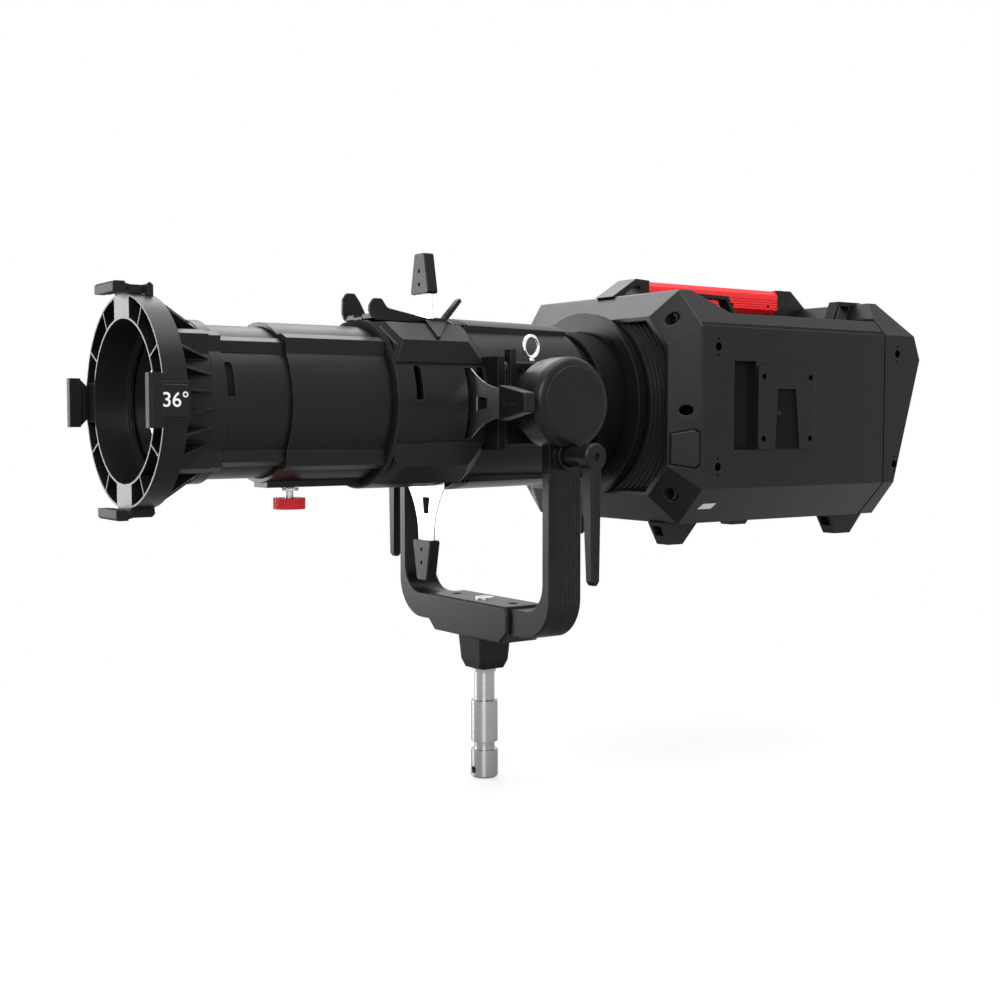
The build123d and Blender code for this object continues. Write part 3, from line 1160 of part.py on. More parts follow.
with BuildPart() as lamp_cone:
    step_y = (CONE_BACK - CONE_FRONT) / CONE_STEPS
    step_r = (CONE_R - MOUNT_R) / CONE_STEPS
    steps = []
    for i in range(CONE_STEPS):
        steps += [(CONE_FRONT + step_y * i, MOUNT_R + step_r * i),
                  (CONE_FRONT + step_y * i + step_y * 0.25, MOUNT_R + step_r * (i + 1))]
    turned((MOUNT_BACK, MOUNT_BORE), (MOUNT_BACK, NECK_R), (CONE_FRONT, NECK_R), *steps,
           (CONE_BACK + 3, CONE_R), (CONE_BACK + 3, CONE_R - 6), (CONE_FRONT + 6, NECK_R + 6),
           (CONE_FRONT + 6, NECK_R), (SLOPE_Y - 5, NECK_R), (SLOPE_Y - 5, NECK_R + 20),
           (SLOPE_Y, NECK_R + 20), (SLOPE_Y, MOUNT_BORE))
    lamp_stretch(FACE, MOUNT_BACK, SLOPE_Y, CONE_INSET, Mode.INTERSECT)
keep(lamp_cone, "lamp_cone")

bolt_places = [(sx * BOLT_X, z) for sx in (1, -1) for z in (BOLT_TOP_Z, BOLT_LOW_Z)]

with BuildPart() as cowl_room:
    with BuildSketch(across(FACE_Y)):
        lamp_outline(FACE, LIP)
    with BuildSketch(across(BEND_Y)):
        lamp_outline(CROWN, SKIN)
    loft(ruled=True)
    with BuildSketch(across(BEND_Y)):
        with Locations(*bolt_places):
            Circle(2 * BOLT_R)
    extrude(amount=BEND_Y - FACE_Y, mode=Mode.SUBTRACT)

button_dir = Vector(CROWN[1][0] - FACE[1][0], BEND_Y - FACE_Y, 0).normalized()
button_out = Vector(button_dir.Y, -button_dir.X, 0)
button_mid = Vector((CROWN[1][0] + FACE[1][0]) / 2, (BEND_Y + FACE_Y) / 2, AXIS_Z + BUTTON_Z)
button_face = Plane(origin=button_mid, x_dir=button_dir, z_dir=button_out)



def button_outline(grow=0.0):
    """Outline of the release button: taller at the rear, with its rear corners cut."""
    half_w = BUTTON_W / 2 + grow
    half_h = BUTTON_H / 2 + grow
    Polygon((-half_w, half_h * 0.78), (half_w - 5, half_h), (half_w, half_h - 4), (half_w, 4 - half_h),
            (half_w - 5, -half_h), (-half_w, -half_h * 0.78), align=None)


with BuildPart() as lamp_cowl:
    with BuildSketch(across(FACE_Y)):
        lamp_outline(FACE)
    with BuildSketch(across(BEND_Y)):
        lamp_outline(CROWN)
    loft(ruled=True)
    add(cowl_room.part, mode=Mode.SUBTRACT)
    with BuildSketch(button_face.offset(-BUTTON_T - 3)):
        Rectangle(BUTTON_W + 4, BUTTON_H + 6)
    extrude(amount=BUTTON_T)
    with BuildSketch(button_face):
        button_outline(BUTTON_GAP)
    extrude(amount=-BUTTON_T, mode=Mode.SUBTRACT)
    with BuildSketch(button_face):
        button_outline(BUTTON_GAP)
    extrude(amount=BUTTON_T, mode=Mode.SUBTRACT)
    with BuildSketch(button_face):
        with Locations((1, BUTTON_H)):
            Ellipse(7.5, 5.5)
    extrude(amount=-3 * SKIN, mode=Mode.SUBTRACT)
    lamp_stretch(CROWN, BEND_Y, CROWN_Y, 0, Mode.SUBTRACT)
    with BuildSketch(across(BOLT_SEAT)):
        with Locations(*bolt_places):
            Circle(BOLT_R + 1.5)
    extrude(amount=BEND_Y, mode=Mode.SUBTRACT)
    with BuildSketch(across(BEND_Y)):
        with Locations(*bolt_places):
            Circle(BOLT_R / 2 + SEAT)
    extrude(amount=BEND_Y - FACE_Y, mode=Mode.SUBTRACT)
keep(lamp_cowl, "lamp_cowl")

with BuildPart() as cowl_bolts:
    with BuildSketch(across(BOLT_SEAT)):
        with Locations(*bolt_places):
            Circle(BOLT_R)
            RegularPolygon(BOLT_R * 0.55, 6, mode=Mode.SUBTRACT)
    extrude(amount=3.5)
    with BuildSketch(across(BOLT_SEAT)):
        with Locations(*bolt_places):
            Circle(BOLT_R)
    extrude(amount=1.5)
    with BuildSketch(across(BOLT_SEAT)):
        with Locations(*bolt_places):
            Circle(BOLT_R / 2)
    extrude(amount=-18)
keep(cowl_bolts, "cowl_bolts")

with BuildPart() as release_button:
    with BuildSketch(button_face.offset(BUTTON_TRAVEL - BUTTON_T)):
        button_outline()
    extrude(amount=BUTTON_T - BUTTON_TRAVEL + BUTTON_RISE)
    chamfer(release_button.faces().sort_by(Axis(button_mid, button_out))[-1].edges(), 1.2)
keep(release_button, "release_button")

with BuildPart() as lamp_room:
    lamp_stretch(CROWN, BEND_Y, CROWN_Y, SKIN)
    with BuildSketch(across(CROWN_Y)):
        lamp_outline(CROWN, SKIN)
    with BuildSketch(across(SLOPE_Y)):
        lamp_outline(PANEL, SKIN)
    loft(ruled=True)
    lamp_stretch(PANEL, SLOPE_Y + BULKHEAD_T, PANEL_END, SKIN)
    with Locations((0, sum(TROUGH_Y) / 2, AXIS_Z + TROUGH_Z - SKIN)):
        Box(2 * (TROUGH_HALF + SKIN), TROUGH_Y[1] - TROUGH_Y[0] + 2 * SKIN, 60,
            align=(Align.CENTER, Align.CENTER, Align.MIN), mode=Mode.SUBTRACT)
    for sx in (1, -1):
        with Locations((sx * LAMP_HALF, sum(POCKET_Y) / 2, AXIS_Z + sum(POCKET_Z) / 2)):
            Box(2 * (POCKET_T + PAD_T - 2), POCKET_Y[1] - POCKET_Y[0] + 8, POCKET_Z[1] - POCKET_Z[0] + 8,
                mode=Mode.SUBTRACT)
    with BuildSketch(across(BEND_Y + 8)):
        with Locations(*bolt_places):
            Rectangle(8 * BOLT_R, 8 * BOLT_R)
    extrude(amount=8, mode=Mode.SUBTRACT)

with BuildPart() as lamp_housing:
    lamp_stretch(CROWN, BEND_Y, CROWN_Y)
    with BuildSketch(across(CROWN_Y)):
        lamp_outline(CROWN)
    with BuildSketch(across(SLOPE_Y)):
        lamp_outline(PANEL)
    loft(ruled=True)
    lamp_stretch(PANEL, SLOPE_Y, PANEL_END)
    with Locations((0, sum(TROUGH_Y) / 2, AXIS_Z + TROUGH_Z)):
        Box(2 * TROUGH_HALF, TROUGH_Y[1] - TROUGH_Y[0], 60,
            align=(Align.CENTER, Align.CENTER, Align.MIN), mode=Mode.SUBTRACT)
    add(lamp_room.part, mode=Mode.SUBTRACT)
    with BuildSketch(across(SLOPE_Y + BULKHEAD_T)):
        Circle(LIGHT_R)
    extrude(amount=BULKHEAD_T, mode=Mode.SUBTRACT)
    with BuildSketch(across(BEND_Y + 8)):
        with Locations(*bolt_places):
            Circle(BOLT_R / 2 + SEAT)
    extrude(amount=8, mode=Mode.SUBTRACT)
    for sx in (1, -1):
        with Locations((sx * LAMP_HALF, sum(POCKET_Y) / 2, AXIS_Z + sum(POCKET_Z) / 2)):
            Box(2 * POCKET_T, POCKET_Y[1] - POCKET_Y[0], POCKET_Z[1] - POCKET_Z[0], mode=Mode.SUBTRACT)
        with Locations((sx * LAMP_HALF, sum(POCKET_SLOT) / 2, AXIS_Z + sum(POCKET_Z) / 2)):
            Box(2 * POCKET_DEEP, POCKET_SLOT[1] - POCKET_SLOT[0], POCKET_Z[1] - POCKET_Z[0] - 10, mode=Mode.SUBTRACT)
        with BuildSketch(beside(sx * LAMP_HALF)):
            with Locations((PLATE_Y, PLATE_Z)):
                with GridLocations(PLATE_SCREW_Y, PLATE_SCREW_Z, 2, 2):
                    Circle(PLATE_SCREW_R)
        extrude(amount=-sx * SKIN, mode=Mode.SUBTRACT)
        panel_holes(sx, PANEL_HOLES[:2])
    with BuildSketch(across(PANEL_END)) as seam:
        lamp_outline(PANEL, -1)
        lamp_outline(PANEL, SEAM_T, Mode.SUBTRACT)
    extrude(seam.sketch, amount=SEAM, mode=Mode.SUBTRACT)
keep(lamp_housing, "lamp_housing")

with BuildPart() as side_plates:
    for sx in (1, -1):
        with BuildSketch(beside(sx * LAMP_HALF)):
            with Locations((PLATE_Y, PLATE_Z)):
                RectangleRounded(PLATE_SIZE, PLATE_SIZE, 4)
                with GridLocations(PLATE_SCREW_Y, PLATE_SCREW_Z, 2, 2):
                    Circle(PLATE_SCREW_R, mode=Mode.SUBTRACT)
        extrude(amount=sx * PLATE_T)
        low = PLATE_Z - PLATE_SIZE / 2 - 1
        with BuildSketch(beside(sx * (LAMP_HALF + PLATE_T))):
            Polygon((PLATE_Y - 15, PLATE_Z + 20.5), (PLATE_Y + 13, PLATE_Z + 20.5), (PLATE_Y + 20, low),
                    (PLATE_Y - 19, low), align=None)
        extrude(amount=-sx * PLATE_SLOT, mode=Mode.SUBTRACT)
        with BuildSketch(beside(sx * (LAMP_HALF + PLATE_T - PLATE_SLOT))):
            with Locations((PLATE_Y - 12, PLATE_Z - 6)):
                Circle(2.4)
        extrude(amount=sx * 2.4)
keep(side_plates, "side_plates")

# ------------------------------------------------------------------ rear bezel, grille and inlet
rear_slope = Vector(0, BEZEL[4][0] - BEZEL[5][0], BEZEL[4][1] - BEZEL[5][1]).normalized()
rear_out = Vector(0, rear_slope.Z, -rear_slope.Y)


def on_rear(x, z, depth=0.0):
    """Plane on the sloping rear face, at a height z, facing backwards."""
    y = BEZEL[5][0] + (z - BEZEL[5][1]) * rear_slope.Y / rear_slope.Z
    return Plane(origin=Vector(x, y, AXIS_Z + z) - rear_out * depth, x_dir=(-1, 0, 0), z_dir=rear_out)


def corner_bevels(depth=0.0):
    """Cut the rear corners of the bezel with a slanting plane on each side."""
    for sx in (1, -1):
        top, side_low, low = [Vector(sx * x, y, AXIS_Z + z) for x, y, z in CORNER]
        out = (side_low - top).cross(low - top).normalized() * sx
        with BuildSketch(Plane(origin=top - out * depth, z_dir=out)) as beyond:
            Rectangle(4 * LAMP_HALF, 4 * LAMP_HALF)
        extrude(beyond.sketch, amount=LAMP_HALF, mode=Mode.SUBTRACT)


with BuildPart() as bezel_room:
    with BuildSketch(beside(-LAMP_HALF)) as room:
        Polygon(*BEZEL, align=None)
        offset(amount=-SKIN, kind=Kind.INTERSECTION, mode=Mode.REPLACE)
    extrude(amount=2 * LAMP_HALF)
    lamp_stretch(CROWN, PANEL_END, 2 * LAMP_HALF + PANEL_END, SKIN, Mode.INTERSECT)
    corner_bevels(SKIN)

with BuildPart() as rear_bezel:
    with BuildSketch(beside(-LAMP_HALF)):
        Polygon(*BEZEL, align=None)
    extrude(amount=2 * LAMP_HALF)
    lamp_stretch(CROWN, PANEL_END, 2 * LAMP_HALF + PANEL_END, 0, Mode.INTERSECT)
    corner_bevels()
    add(bezel_room.part, mode=Mode.SUBTRACT)
    for sx in (1, -1):
        panel_holes(sx, PANEL_HOLES[2:])
    with BuildSketch(across(PANEL_END + SKIN)):
        with Locations((0, FAN_Z)):
            Circle(FAN_R + 1.5)
    extrude(amount=SKIN, mode=Mode.SUBTRACT)
    with BuildSketch(on_rear(0, FAN_Z)):
        RectangleRounded(WINDOW_W, WINDOW_H, 8)
    extrude(amount=-SKIN, mode=Mode.SUBTRACT)
    with BuildSketch(on_rear(INLET_X, INLET_Z)):
        Circle(INLET_R + SEAT)
    extrude(amount=-SKIN, mode=Mode.SUBTRACT)
keep(rear_bezel, "rear_bezel")

with BuildPart() as rear_grille:
    with BuildSketch(on_rear(0, FAN_Z, SKIN)):
        RectangleRounded(WINDOW_W + 12, WINDOW_H + 8, 8)
    extrude(amount=-2)
    with BuildSketch(on_rear(0, FAN_Z, SKIN)):
        RectangleRounded(WINDOW_W - 2 * SEAT, WINDOW_H - 2 * SEAT, 8)
    extrude(amount=SKIN - 1)
    with BuildSketch(on_rear(0, FAN_Z)):
        with GridLocations(WINDOW_W / 4, 9.5, 4, 13):
            SlotOverall(WINDOW_W / 4 - 6, 5)
    extrude(amount=-2 * SKIN, mode=Mode.SUBTRACT)
keep(rear_grille, "rear_grille")

with BuildPart() as fan_frame:
    with BuildSketch(across(PANEL_END + SKIN + 2)):
        with Locations((0, FAN_Z)):
            Circle(FAN_R + 14)
            Circle(FAN_R + 1.5, mode=Mode.SUBTRACT)
    extrude(amount=2)
    with BuildSketch(across(FAN_BACK + 1)):
        with Locations((0, FAN_Z)):
            Circle(FAN_R + 4)
            Circle(FAN_R + 1.5, mode=Mode.SUBTRACT)
    extrude(amount=FAN_BACK + 1 - PANEL_END - SKIN)
    with BuildSketch(across(FAN_FRONT - 3)):
        with Locations((0, FAN_Z)):
            Rectangle(2 * FAN_R + 4, 6)
            Rectangle(6, 2 * FAN_R + 4)
            Circle(18)
    extrude(amount=FAN_FRONT - 3 - PANEL_END - SKIN)
    with BuildSketch(across(FAN_BACK - 2)):
        with Locations((0, FAN_Z)):
            Circle(FAN_SHAFT_R)
    extrude(amount=FAN_BACK + 1 - FAN_FRONT)
keep(fan_frame, "fan_frame")

with BuildPart() as fan_rotor:
    with BuildSketch(across(FAN_BACK)):
        with Locations((0, FAN_Z)):
            Circle(20)
    extrude(amount=FAN_BACK - FAN_FRONT)
    for i in range(FAN_BLADES):
        a = radians(360 / FAN_BLADES * i)
        tilt = radians(50)
        middle = (FAN_R + 16) / 2
        plane = Plane(
            origin=(middle * cos(a), (FAN_FRONT + FAN_BACK) / 2, AXIS_Z + FAN_Z + middle * sin(a)),
            x_dir=(cos(a), 0, sin(a)),
            z_dir=(-sin(tilt) * sin(a), cos(tilt), sin(tilt) * cos(a)),
        )
        with Locations(plane):
            Box(FAN_R - 18, 18, 1.8)
    with BuildSketch(across(FAN_BACK - 2 + GAP)):
        with Locations((0, FAN_Z)):
            Circle(FAN_SHAFT_R + RUN)
    extrude(amount=FAN_BACK, mode=Mode.SUBTRACT)
keep(fan_rotor, "fan_rotor")

with BuildPart() as power_inlet:
    with BuildSketch(on_rear(INLET_X, INLET_Z)):
        RectangleRounded(2 * INLET_R + 5, 2 * INLET_R + 10, 4)
    extrude(amount=2.0)
    with BuildSketch(on_rear(INLET_X, INLET_Z)):
        Circle(INLET_R)
    extrude(amount=-24)
    with BuildSketch(on_rear(INLET_X, INLET_Z, -2.0)):
        Circle(INLET_R - 2)
    extrude(amount=-14, mode=Mode.SUBTRACT)
    with BuildSketch(on_rear(INLET_X, INLET_Z, 12.0)):
        with PolarLocations(6, 3):
            Circle(1.6)
    extrude(amount=9)
keep(power_inlet, "power_inlet")

# ------------------------------------------------------------------ light engine
with BuildPart() as led_module:
    with Locations((0, SLOPE_Y + BULKHEAD_T, AXIS_Z)):
        Box(BOARD_SIZE, BOARD_T, BOARD_SIZE, align=(Align.CENTER, Align.MIN, Align.CENTER))
    with BuildSketch(across(SLOPE_Y + BULKHEAD_T)):
        Circle(EMITTER_R)
    extrude(amount=3.5)
keep(led_module, "led_module")

with BuildPart() as reflector:
    back = SLOPE_Y + BULKHEAD_T
    turned((back, EMITTER_R + 1), (back, LIGHT_R - SEAT), (back - 2.5, LIGHT_R - SEAT), (back - 2.5, EMITTER_R + 3),
           (hub_back + 6, hub_bore - 1), (hub_back + 6, hub_bore - 2.5), (back - 2.5, EMITTER_R + 1))
keep(reflector, "reflector")

with BuildPart() as heat_sink:
    back = SLOPE_Y + BULKHEAD_T + BOARD_T
    with Locations((0, back, AXIS_Z + SINK_Z)):
        Box(SINK_W, SINK_BASE, SINK_H, align=(Align.CENTER, Align.MIN, Align.CENTER))
    with Locations((0, back + SINK_BASE, AXIS_Z + SINK_Z)):
        with GridLocations((SINK_W - 3) / (SINK_FINS - 1), 0, SINK_FINS, 1):
            Box(3, SINK_L, SINK_H, align=(Align.CENTER, Align.MIN, Align.CENTER))
keep(heat_sink, "heat_sink")

# ------------------------------------------------------------------ carry handle, brackets, feet and guards
with BuildPart() as carry_handle:
    with Locations((0, sum(HANDLE_Y) / 2, AXIS_Z + (HANDLE_Z + HANDLE_LOW) / 2)):
        Box(2 * HANDLE_HALF, HANDLE_Y[1] - HANDLE_Y[0], HANDLE_Z - HANDLE_LOW)
    chamfer(carry_handle.edges().filter_by(Axis.Y), 5.0)
    for i in range(GRIP_GROOVES):
        with Locations((0, sum(HANDLE_Y) / 2, AXIS_Z + HANDLE_LOW + 7 + 3 * i)):
            with GridLocations(2 * HANDLE_HALF, 0, 2, 1):
                Box(1.6, HANDLE_Y[1] - HANDLE_Y[0], 1.0, mode=Mode.SUBTRACT)
keep(carry_handle, "carry_handle")

with BuildPart() as handle_brackets:
    with BuildSketch(beside(-HANDLE_HALF)):
        Polygon((CROWN_Y - 20.5, CROWN_TOP), (CROWN_Y + 14, HANDLE_Z + 2), (HANDLE_Y[0], HANDLE_Z + 1), (HANDLE_Y[0], HANDLE_LOW - 1),
                (TROUGH_Y[0] - 6, LAMP_TOP), (SLOPE_Y, LAMP_TOP), (CROWN_Y, CROWN_TOP), align=None)
        Polygon((CROWN_Y - 2, CROWN_TOP + 4), (CROWN_Y + 14, HANDLE_Z - 6), (CROWN_Y + 21, HANDLE_Z - 6),
                (CROWN_Y + 23, HANDLE_LOW), (CROWN_Y + 5, CROWN_TOP + 2), align=None, mode=Mode.SUBTRACT)
    extrude(amount=2 * HANDLE_HALF)
    with BuildSketch(beside(-HANDLE_HALF)):
        Polygon((HANDLE_Y[1], HANDLE_LOW - 1), (HANDLE_Y[1], HANDLE_Z + 1), (HANDLE_Y[1] + 23, HANDLE_Z + 1),
                (BEZEL[1][0] + 8, BEZEL[1][1]), BEZEL[1], BEZEL[0], (PANEL_END, LAMP_TOP),
                (TROUGH_Y[1] + 5, LAMP_TOP), align=None)
    extrude(amount=2 * HANDLE_HALF)
    for i in range(HANDLE_RIBS):
        with Locations((0, HANDLE_Y[1] + 3 + 3 * i, AXIS_Z + HANDLE_Z)):
            Box(3 * HANDLE_HALF, 1.2, 60, mode=Mode.SUBTRACT)
            Box(2 * HANDLE_HALF - 2.4, 1.2, HANDLE_Z - HANDLE_LOW + 1,
                align=(Align.CENTER, Align.CENTER, Align.MAX))
    with BuildSketch(across(PANEL_END + 60)) as room:
        Rectangle(4 * HANDLE_HALF, 6 * LAMP_TOP)
        with Locations((0, HANDLE_LOW - 1)):
            Rectangle(2 * HANDLE_HALF, 4 * LAMP_TOP, mode=Mode.SUBTRACT)
    extrude(room.sketch, amount=PANEL_END, mode=Mode.SUBTRACT)
keep(handle_brackets, "handle_brackets")

with BuildPart() as bumpers:
    for sx in (1, -1):
        for top0, top1, low0, low1 in FEET:
            for z, y0, y1, w in ((LAMP_BOTTOM, top0, top1, FOOT_SIZE[0]), (FOOT_Z, low0, low1, FOOT_SIZE[1])):
                with BuildSketch(level(z)):
                    with Locations((sx * FOOT_X, (y0 + y1) / 2)):
                        Rectangle(w, y1 - y0)
            loft(ruled=True)
        with Locations((sx * FOOT_X, PANEL_END, AXIS_Z + LAMP_BOTTOM - 9.5)):
            Box(FOOT_SIZE[1] - 4, 2 * PANEL_END, FOOT_WINDOW, mode=Mode.SUBTRACT)
    for sx in (1, -1):
        x0 = sx * GUARD_X - GUARD_W / 2
        with BuildSketch(beside(x0)):
            Polygon((CROWN_Y + 3, CROWN_TOP - 1.8), (CROWN_Y + 3, CROWN_TOP), (SLOPE_Y + 38, CROWN_TOP - 1),
                    (SLOPE_Y + 52, LAMP_TOP), (SLOPE_Y + 46, LAMP_TOP), (SLOPE_Y + 35, CROWN_TOP - 5),
                    (CROWN_Y + 9, CROWN_TOP - 4), align=None)
        extrude(amount=GUARD_W)
        with BuildSketch(beside(x0)):
            Polygon((PANEL_END - 28, LAMP_TOP), (PANEL_END - 17, BEZEL[1][1] + 2), (BEZEL[2][0] - 4, BEZEL[1][1] + 2),
                    (BEZEL[2][0] - 4, BEZEL[1][1]), BEZEL[1], BEZEL[0], (PANEL_END, LAMP_TOP), align=None)
            Polygon((PANEL_END - 23, LAMP_TOP), (PANEL_END - 14.5, BEZEL[1][1] - 3), (BEZEL[1][0] - 10, BEZEL[1][1] - 3),
                    (PANEL_END - 6, LAMP_TOP), align=None, mode=Mode.SUBTRACT)
        extrude(amount=GUARD_W)
keep(bumpers, "bumpers")
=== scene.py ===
# %% [markdown]
# An ellipsoidal spotlight, dressed in Blender. Its solid pieces come from a CAD model that is
# already at its real size, so nothing here is moved or resized. This lesson adds the camera, the
# light, the finishes and the small details that a CAD model leaves out. All lengths are metres.

# %% Load the frame
import math

import bmesh
import bpy
from mathutils import Matrix, Vector


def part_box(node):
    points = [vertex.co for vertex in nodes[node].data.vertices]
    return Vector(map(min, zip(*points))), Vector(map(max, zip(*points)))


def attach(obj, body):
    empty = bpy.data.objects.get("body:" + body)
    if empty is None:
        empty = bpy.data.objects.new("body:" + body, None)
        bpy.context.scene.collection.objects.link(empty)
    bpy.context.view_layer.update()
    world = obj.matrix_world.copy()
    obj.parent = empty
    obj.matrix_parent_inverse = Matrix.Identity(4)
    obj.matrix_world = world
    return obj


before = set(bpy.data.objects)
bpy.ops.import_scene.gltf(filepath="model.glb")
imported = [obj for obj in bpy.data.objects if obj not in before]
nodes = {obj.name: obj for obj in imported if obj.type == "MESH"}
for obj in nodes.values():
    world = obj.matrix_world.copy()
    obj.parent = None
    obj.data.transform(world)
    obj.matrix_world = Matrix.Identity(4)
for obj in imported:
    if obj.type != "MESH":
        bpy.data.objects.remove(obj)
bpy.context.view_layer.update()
LENS_Z = 0.335                      # height of the lens axis

# %% [markdown]
# The camera looks from the front and the near side, a little from above. A 50 mm lens one and a
# half metres away gives a strong perspective: the front ring looks almost as tall as the lamp
# head behind it. A longer lens from further off would flatten the barrel, which is what makes
# this light long.

# %% Camera
CAMERA_AT = Vector((1.2018, -0.8381, 0.3182))
TURN = math.radians(54.46)          # round the light, from straight in front
PITCH = math.radians(3.27)          # below level

camera = bpy.data.objects.new("camera", bpy.data.cameras.new("camera"))
bpy.context.collection.objects.link(camera)
camera.data.lens = 50
camera.data.sensor_width = 36
towards = Vector((-math.sin(TURN) * math.cos(PITCH), math.cos(TURN) * math.cos(PITCH),
                  -math.sin(PITCH)))
camera.location = CAMERA_AT
camera.rotation_mode = "QUATERNION"
camera.rotation_quaternion = towards.to_track_quat("-Z", "Y")
bpy.context.scene.camera = camera
print("camera looks along", [round(v, 3) for v in towards])

# %% [markdown]
# Every finish below is a sum of a few patterns: a grain, a mottle, a little wear on the edges.
# Wiring Math nodes by hand hides that sum, so one small class wraps a socket and lets Python's
# own operators add the nodes. `1 - wear * 0.5` then reads as it would on paper. Sums of plain
# numbers stay in Python and add no node.

# %% A socket that can be added and multiplied
class Wire:
    """An output socket; arithmetic on it adds Math nodes."""

    def __init__(self, desk, socket):
        self.desk = desk
        self.socket = socket

    def maths(self, operation, first, second):
        return self.desk.add("ShaderNodeMath", {"operation": operation}, {0: first, 1: second})

    def __add__(self, other):
        return self.maths("ADD", self, other)

    def __sub__(self, other):
        return self.maths("SUBTRACT", self, other)

    def __rsub__(self, other):
        return self.maths("SUBTRACT", other, self)

    def __mul__(self, other):
        return self.maths("MULTIPLY", self, other)

    def size(self):
        """The value without its sign."""
        return self.maths("ABSOLUTE", self, 0)

    def clamped(self):
        """The value, held between 0 and 1."""
        return self.desk.add("ShaderNodeClamp", {}, {"Value": self})

    def above(self, limit, blur=0.0002):
        """0 below a limit and 1 above it, with a narrow blend between."""
        return ((self - limit) * (1 / blur) + 0.5).clamped()

    __radd__ = __add__


# %% [markdown]
# A desk is the node tree of one finish. It adds a node in one call: first the node's settings,
# such as an operation, then the values or wires of its sockets. A number that is the same all
# over a surface goes straight to the shader's own socket, where an exported model can still find
# it.

# %% The desk where a finish is wired up
class Desk:
    """The node tree of one finish, with its main shader."""

    def __init__(self, name, **values):
        self.material = bpy.data.materials.new(name)
        self.material.use_nodes = True
        self.tree = self.material.node_tree
        self.shader = self.tree.nodes["Principled BSDF"]
        self.set(**values)
        self.place = self.add("ShaderNodeTexCoord", {}, {}, "Object")

    def plug(self, socket, value):
        """Link a wire to a socket, or write a plain value in it."""
        if isinstance(value, Wire):
            self.tree.links.new(value.socket, socket)
        else:
            socket.default_value = value

    def add(self, kind, settings, sockets, output=0):
        """Add a node and give back the wire of one of its outputs."""
        node = self.tree.nodes.new(kind)
        for key, value in settings.items():
            setattr(node, key, value)
        for key, value in sockets.items():
            self.plug(node.inputs[key], value)
        return Wire(self, node.outputs[output])

    def set(self, **values):
        """Fill the shader's sockets; an underscore stands for a space in a socket's name."""
        for key, value in values.items():
            self.plug(self.shader.inputs[key.replace("_", " ")], value)


# %% [markdown]
# No coating or casting is one flat colour. Noise gives each finish its mottle and its grain. It
# is placed by the object's own coordinates, in metres, so it has the same scale on every piece,
# and it moves with the piece. Unwrapping sixty pieces for painted textures would take far longer.

# %% Patterns and colours
def along(desk, axis):
    """The place on the object, in metres, along one axis."""
    return desk.add("ShaderNodeSeparateXYZ", {}, {"Vector": desk.place}, "XYZ".index(axis))


def noise(desk, size, detail=3.0, rough=0.5):
    """Cloudy pattern from 0 to 1 whose blobs are about `size` metres across."""
    sockets = {"Vector": desk.place, "Scale": 1 / size, "Detail": detail, "Roughness": rough}
    return desk.add("ShaderNodeTexNoise", {}, sockets, "Fac")


def vector_maths(desk, operation, values, output="Vector"):
    """One step of arithmetic on whole vectors."""
    sockets = dict(enumerate(values))
    return desk.add("ShaderNodeVectorMath", {"operation": operation}, sockets, output)


def grey(value):
    return (value, value, value)


def blended(desk, mask, low, high):
    """Colour from `low` to `high` as a mask goes from 0 to 1; each is a wire or three numbers."""
    low, high = (c if isinstance(c, Wire) else (*c, 1) for c in (low, high))
    return desk.add("ShaderNodeMix", {"data_type": "RGBA"}, {"Factor": mask, 6: low, 7: high}, 2)


# %% [markdown]
# A casting has no knife edges: each one is rounded by half a millimetre or more, catches a thin
# line of light, and is the first place where the coating wears. Real fillets on every edge would
# mean new meshes, so the Bevel node does it in shading. It leans the normal near an edge. How far
# it leans also tells where the edges are, which gives its mask to the wear and to a painted
# highlight along each edge.

# %% Edges and relief
BEVEL_SAMPLES = 4
WEAR_AND_HIGHLIGHT_WIDTH = 0.0012                 # how far wear and the painted edge highlight reach from an edge


def true_normal(desk):
    return desk.add("ShaderNodeNewGeometry", {}, {}, "Normal")


def rounded_normal(desk, radius):
    """The normal that a face would have if its edges were rounded to a radius."""
    return desk.add("ShaderNodeBevel", {"samples": BEVEL_SAMPLES}, {"Radius": radius})


def edges(desk):
    """1 on edges, 0 on flat faces: how far the rounded normal leans from the true one."""
    normals = [rounded_normal(desk, WEAR_AND_HIGHLIGHT_WIDTH), true_normal(desk)]
    lean = vector_maths(desk, "DOT_PRODUCT", normals, "Value")
    return ((1 - lean) * 4).clamped()


def relief(desk, height, depth, soften=0.0, where=1.0):
    """Bump of a height pattern `depth` metres deep, over edges rounded by `soften` metres.

    `where` is 1 on edges that are rounded, and 0 on those that stay sharp.
    """
    sockets = {"Height": height, "Distance": depth, "Strength": 1.0}
    if soften:
        normals = {"Factor": where, 4: true_normal(desk), 5: rounded_normal(desk, soften)}
        sockets["Normal"] = desk.add("ShaderNodeMix", {"data_type": "VECTOR"}, normals, 1)
    desk.set(Normal=desk.add("ShaderNodeBump", {}, sockets))


# %% [markdown]
# Parts of a piece can be darker than the rest. The bores of the tube and the gate are painted flat
# black to swallow stray light, the recess behind each side plate gets painted shade, as it sees no
# light, and a dark line runs round the lamp head where its rear bezel closes. These could be faces
# with a finish of their own, but each CAD piece has one slot, so the place on the object says where
# the dark part begins.

# %% Masks for the dark places and the painted shade
RECESS_HALF_HEIGHT = 0.085
SEAM_HALF_WIDTH = 0.0013


def within(desk, radius):
    """1 nearer to the lens axis than a radius."""
    across = vector_maths(desk, "MULTIPLY", [desk.place, (1, 0, 1)])
    across = vector_maths(desk, "SUBTRACT", [across, (0, 0, LENS_Z)])
    return 1 - vector_maths(desk, "LENGTH", [across], "Value").above(radius)


def recess_shade(desk, face_x):
    """1 behind the side faces, over the height of the recess in them, where the shade is painted.
    """
    height = (along(desk, "Z") - LENS_Z).size()
    behind = 1 - along(desk, "X").size().above(face_x)
    return behind * (1 - height.above(RECESS_HALF_HEIGHT))


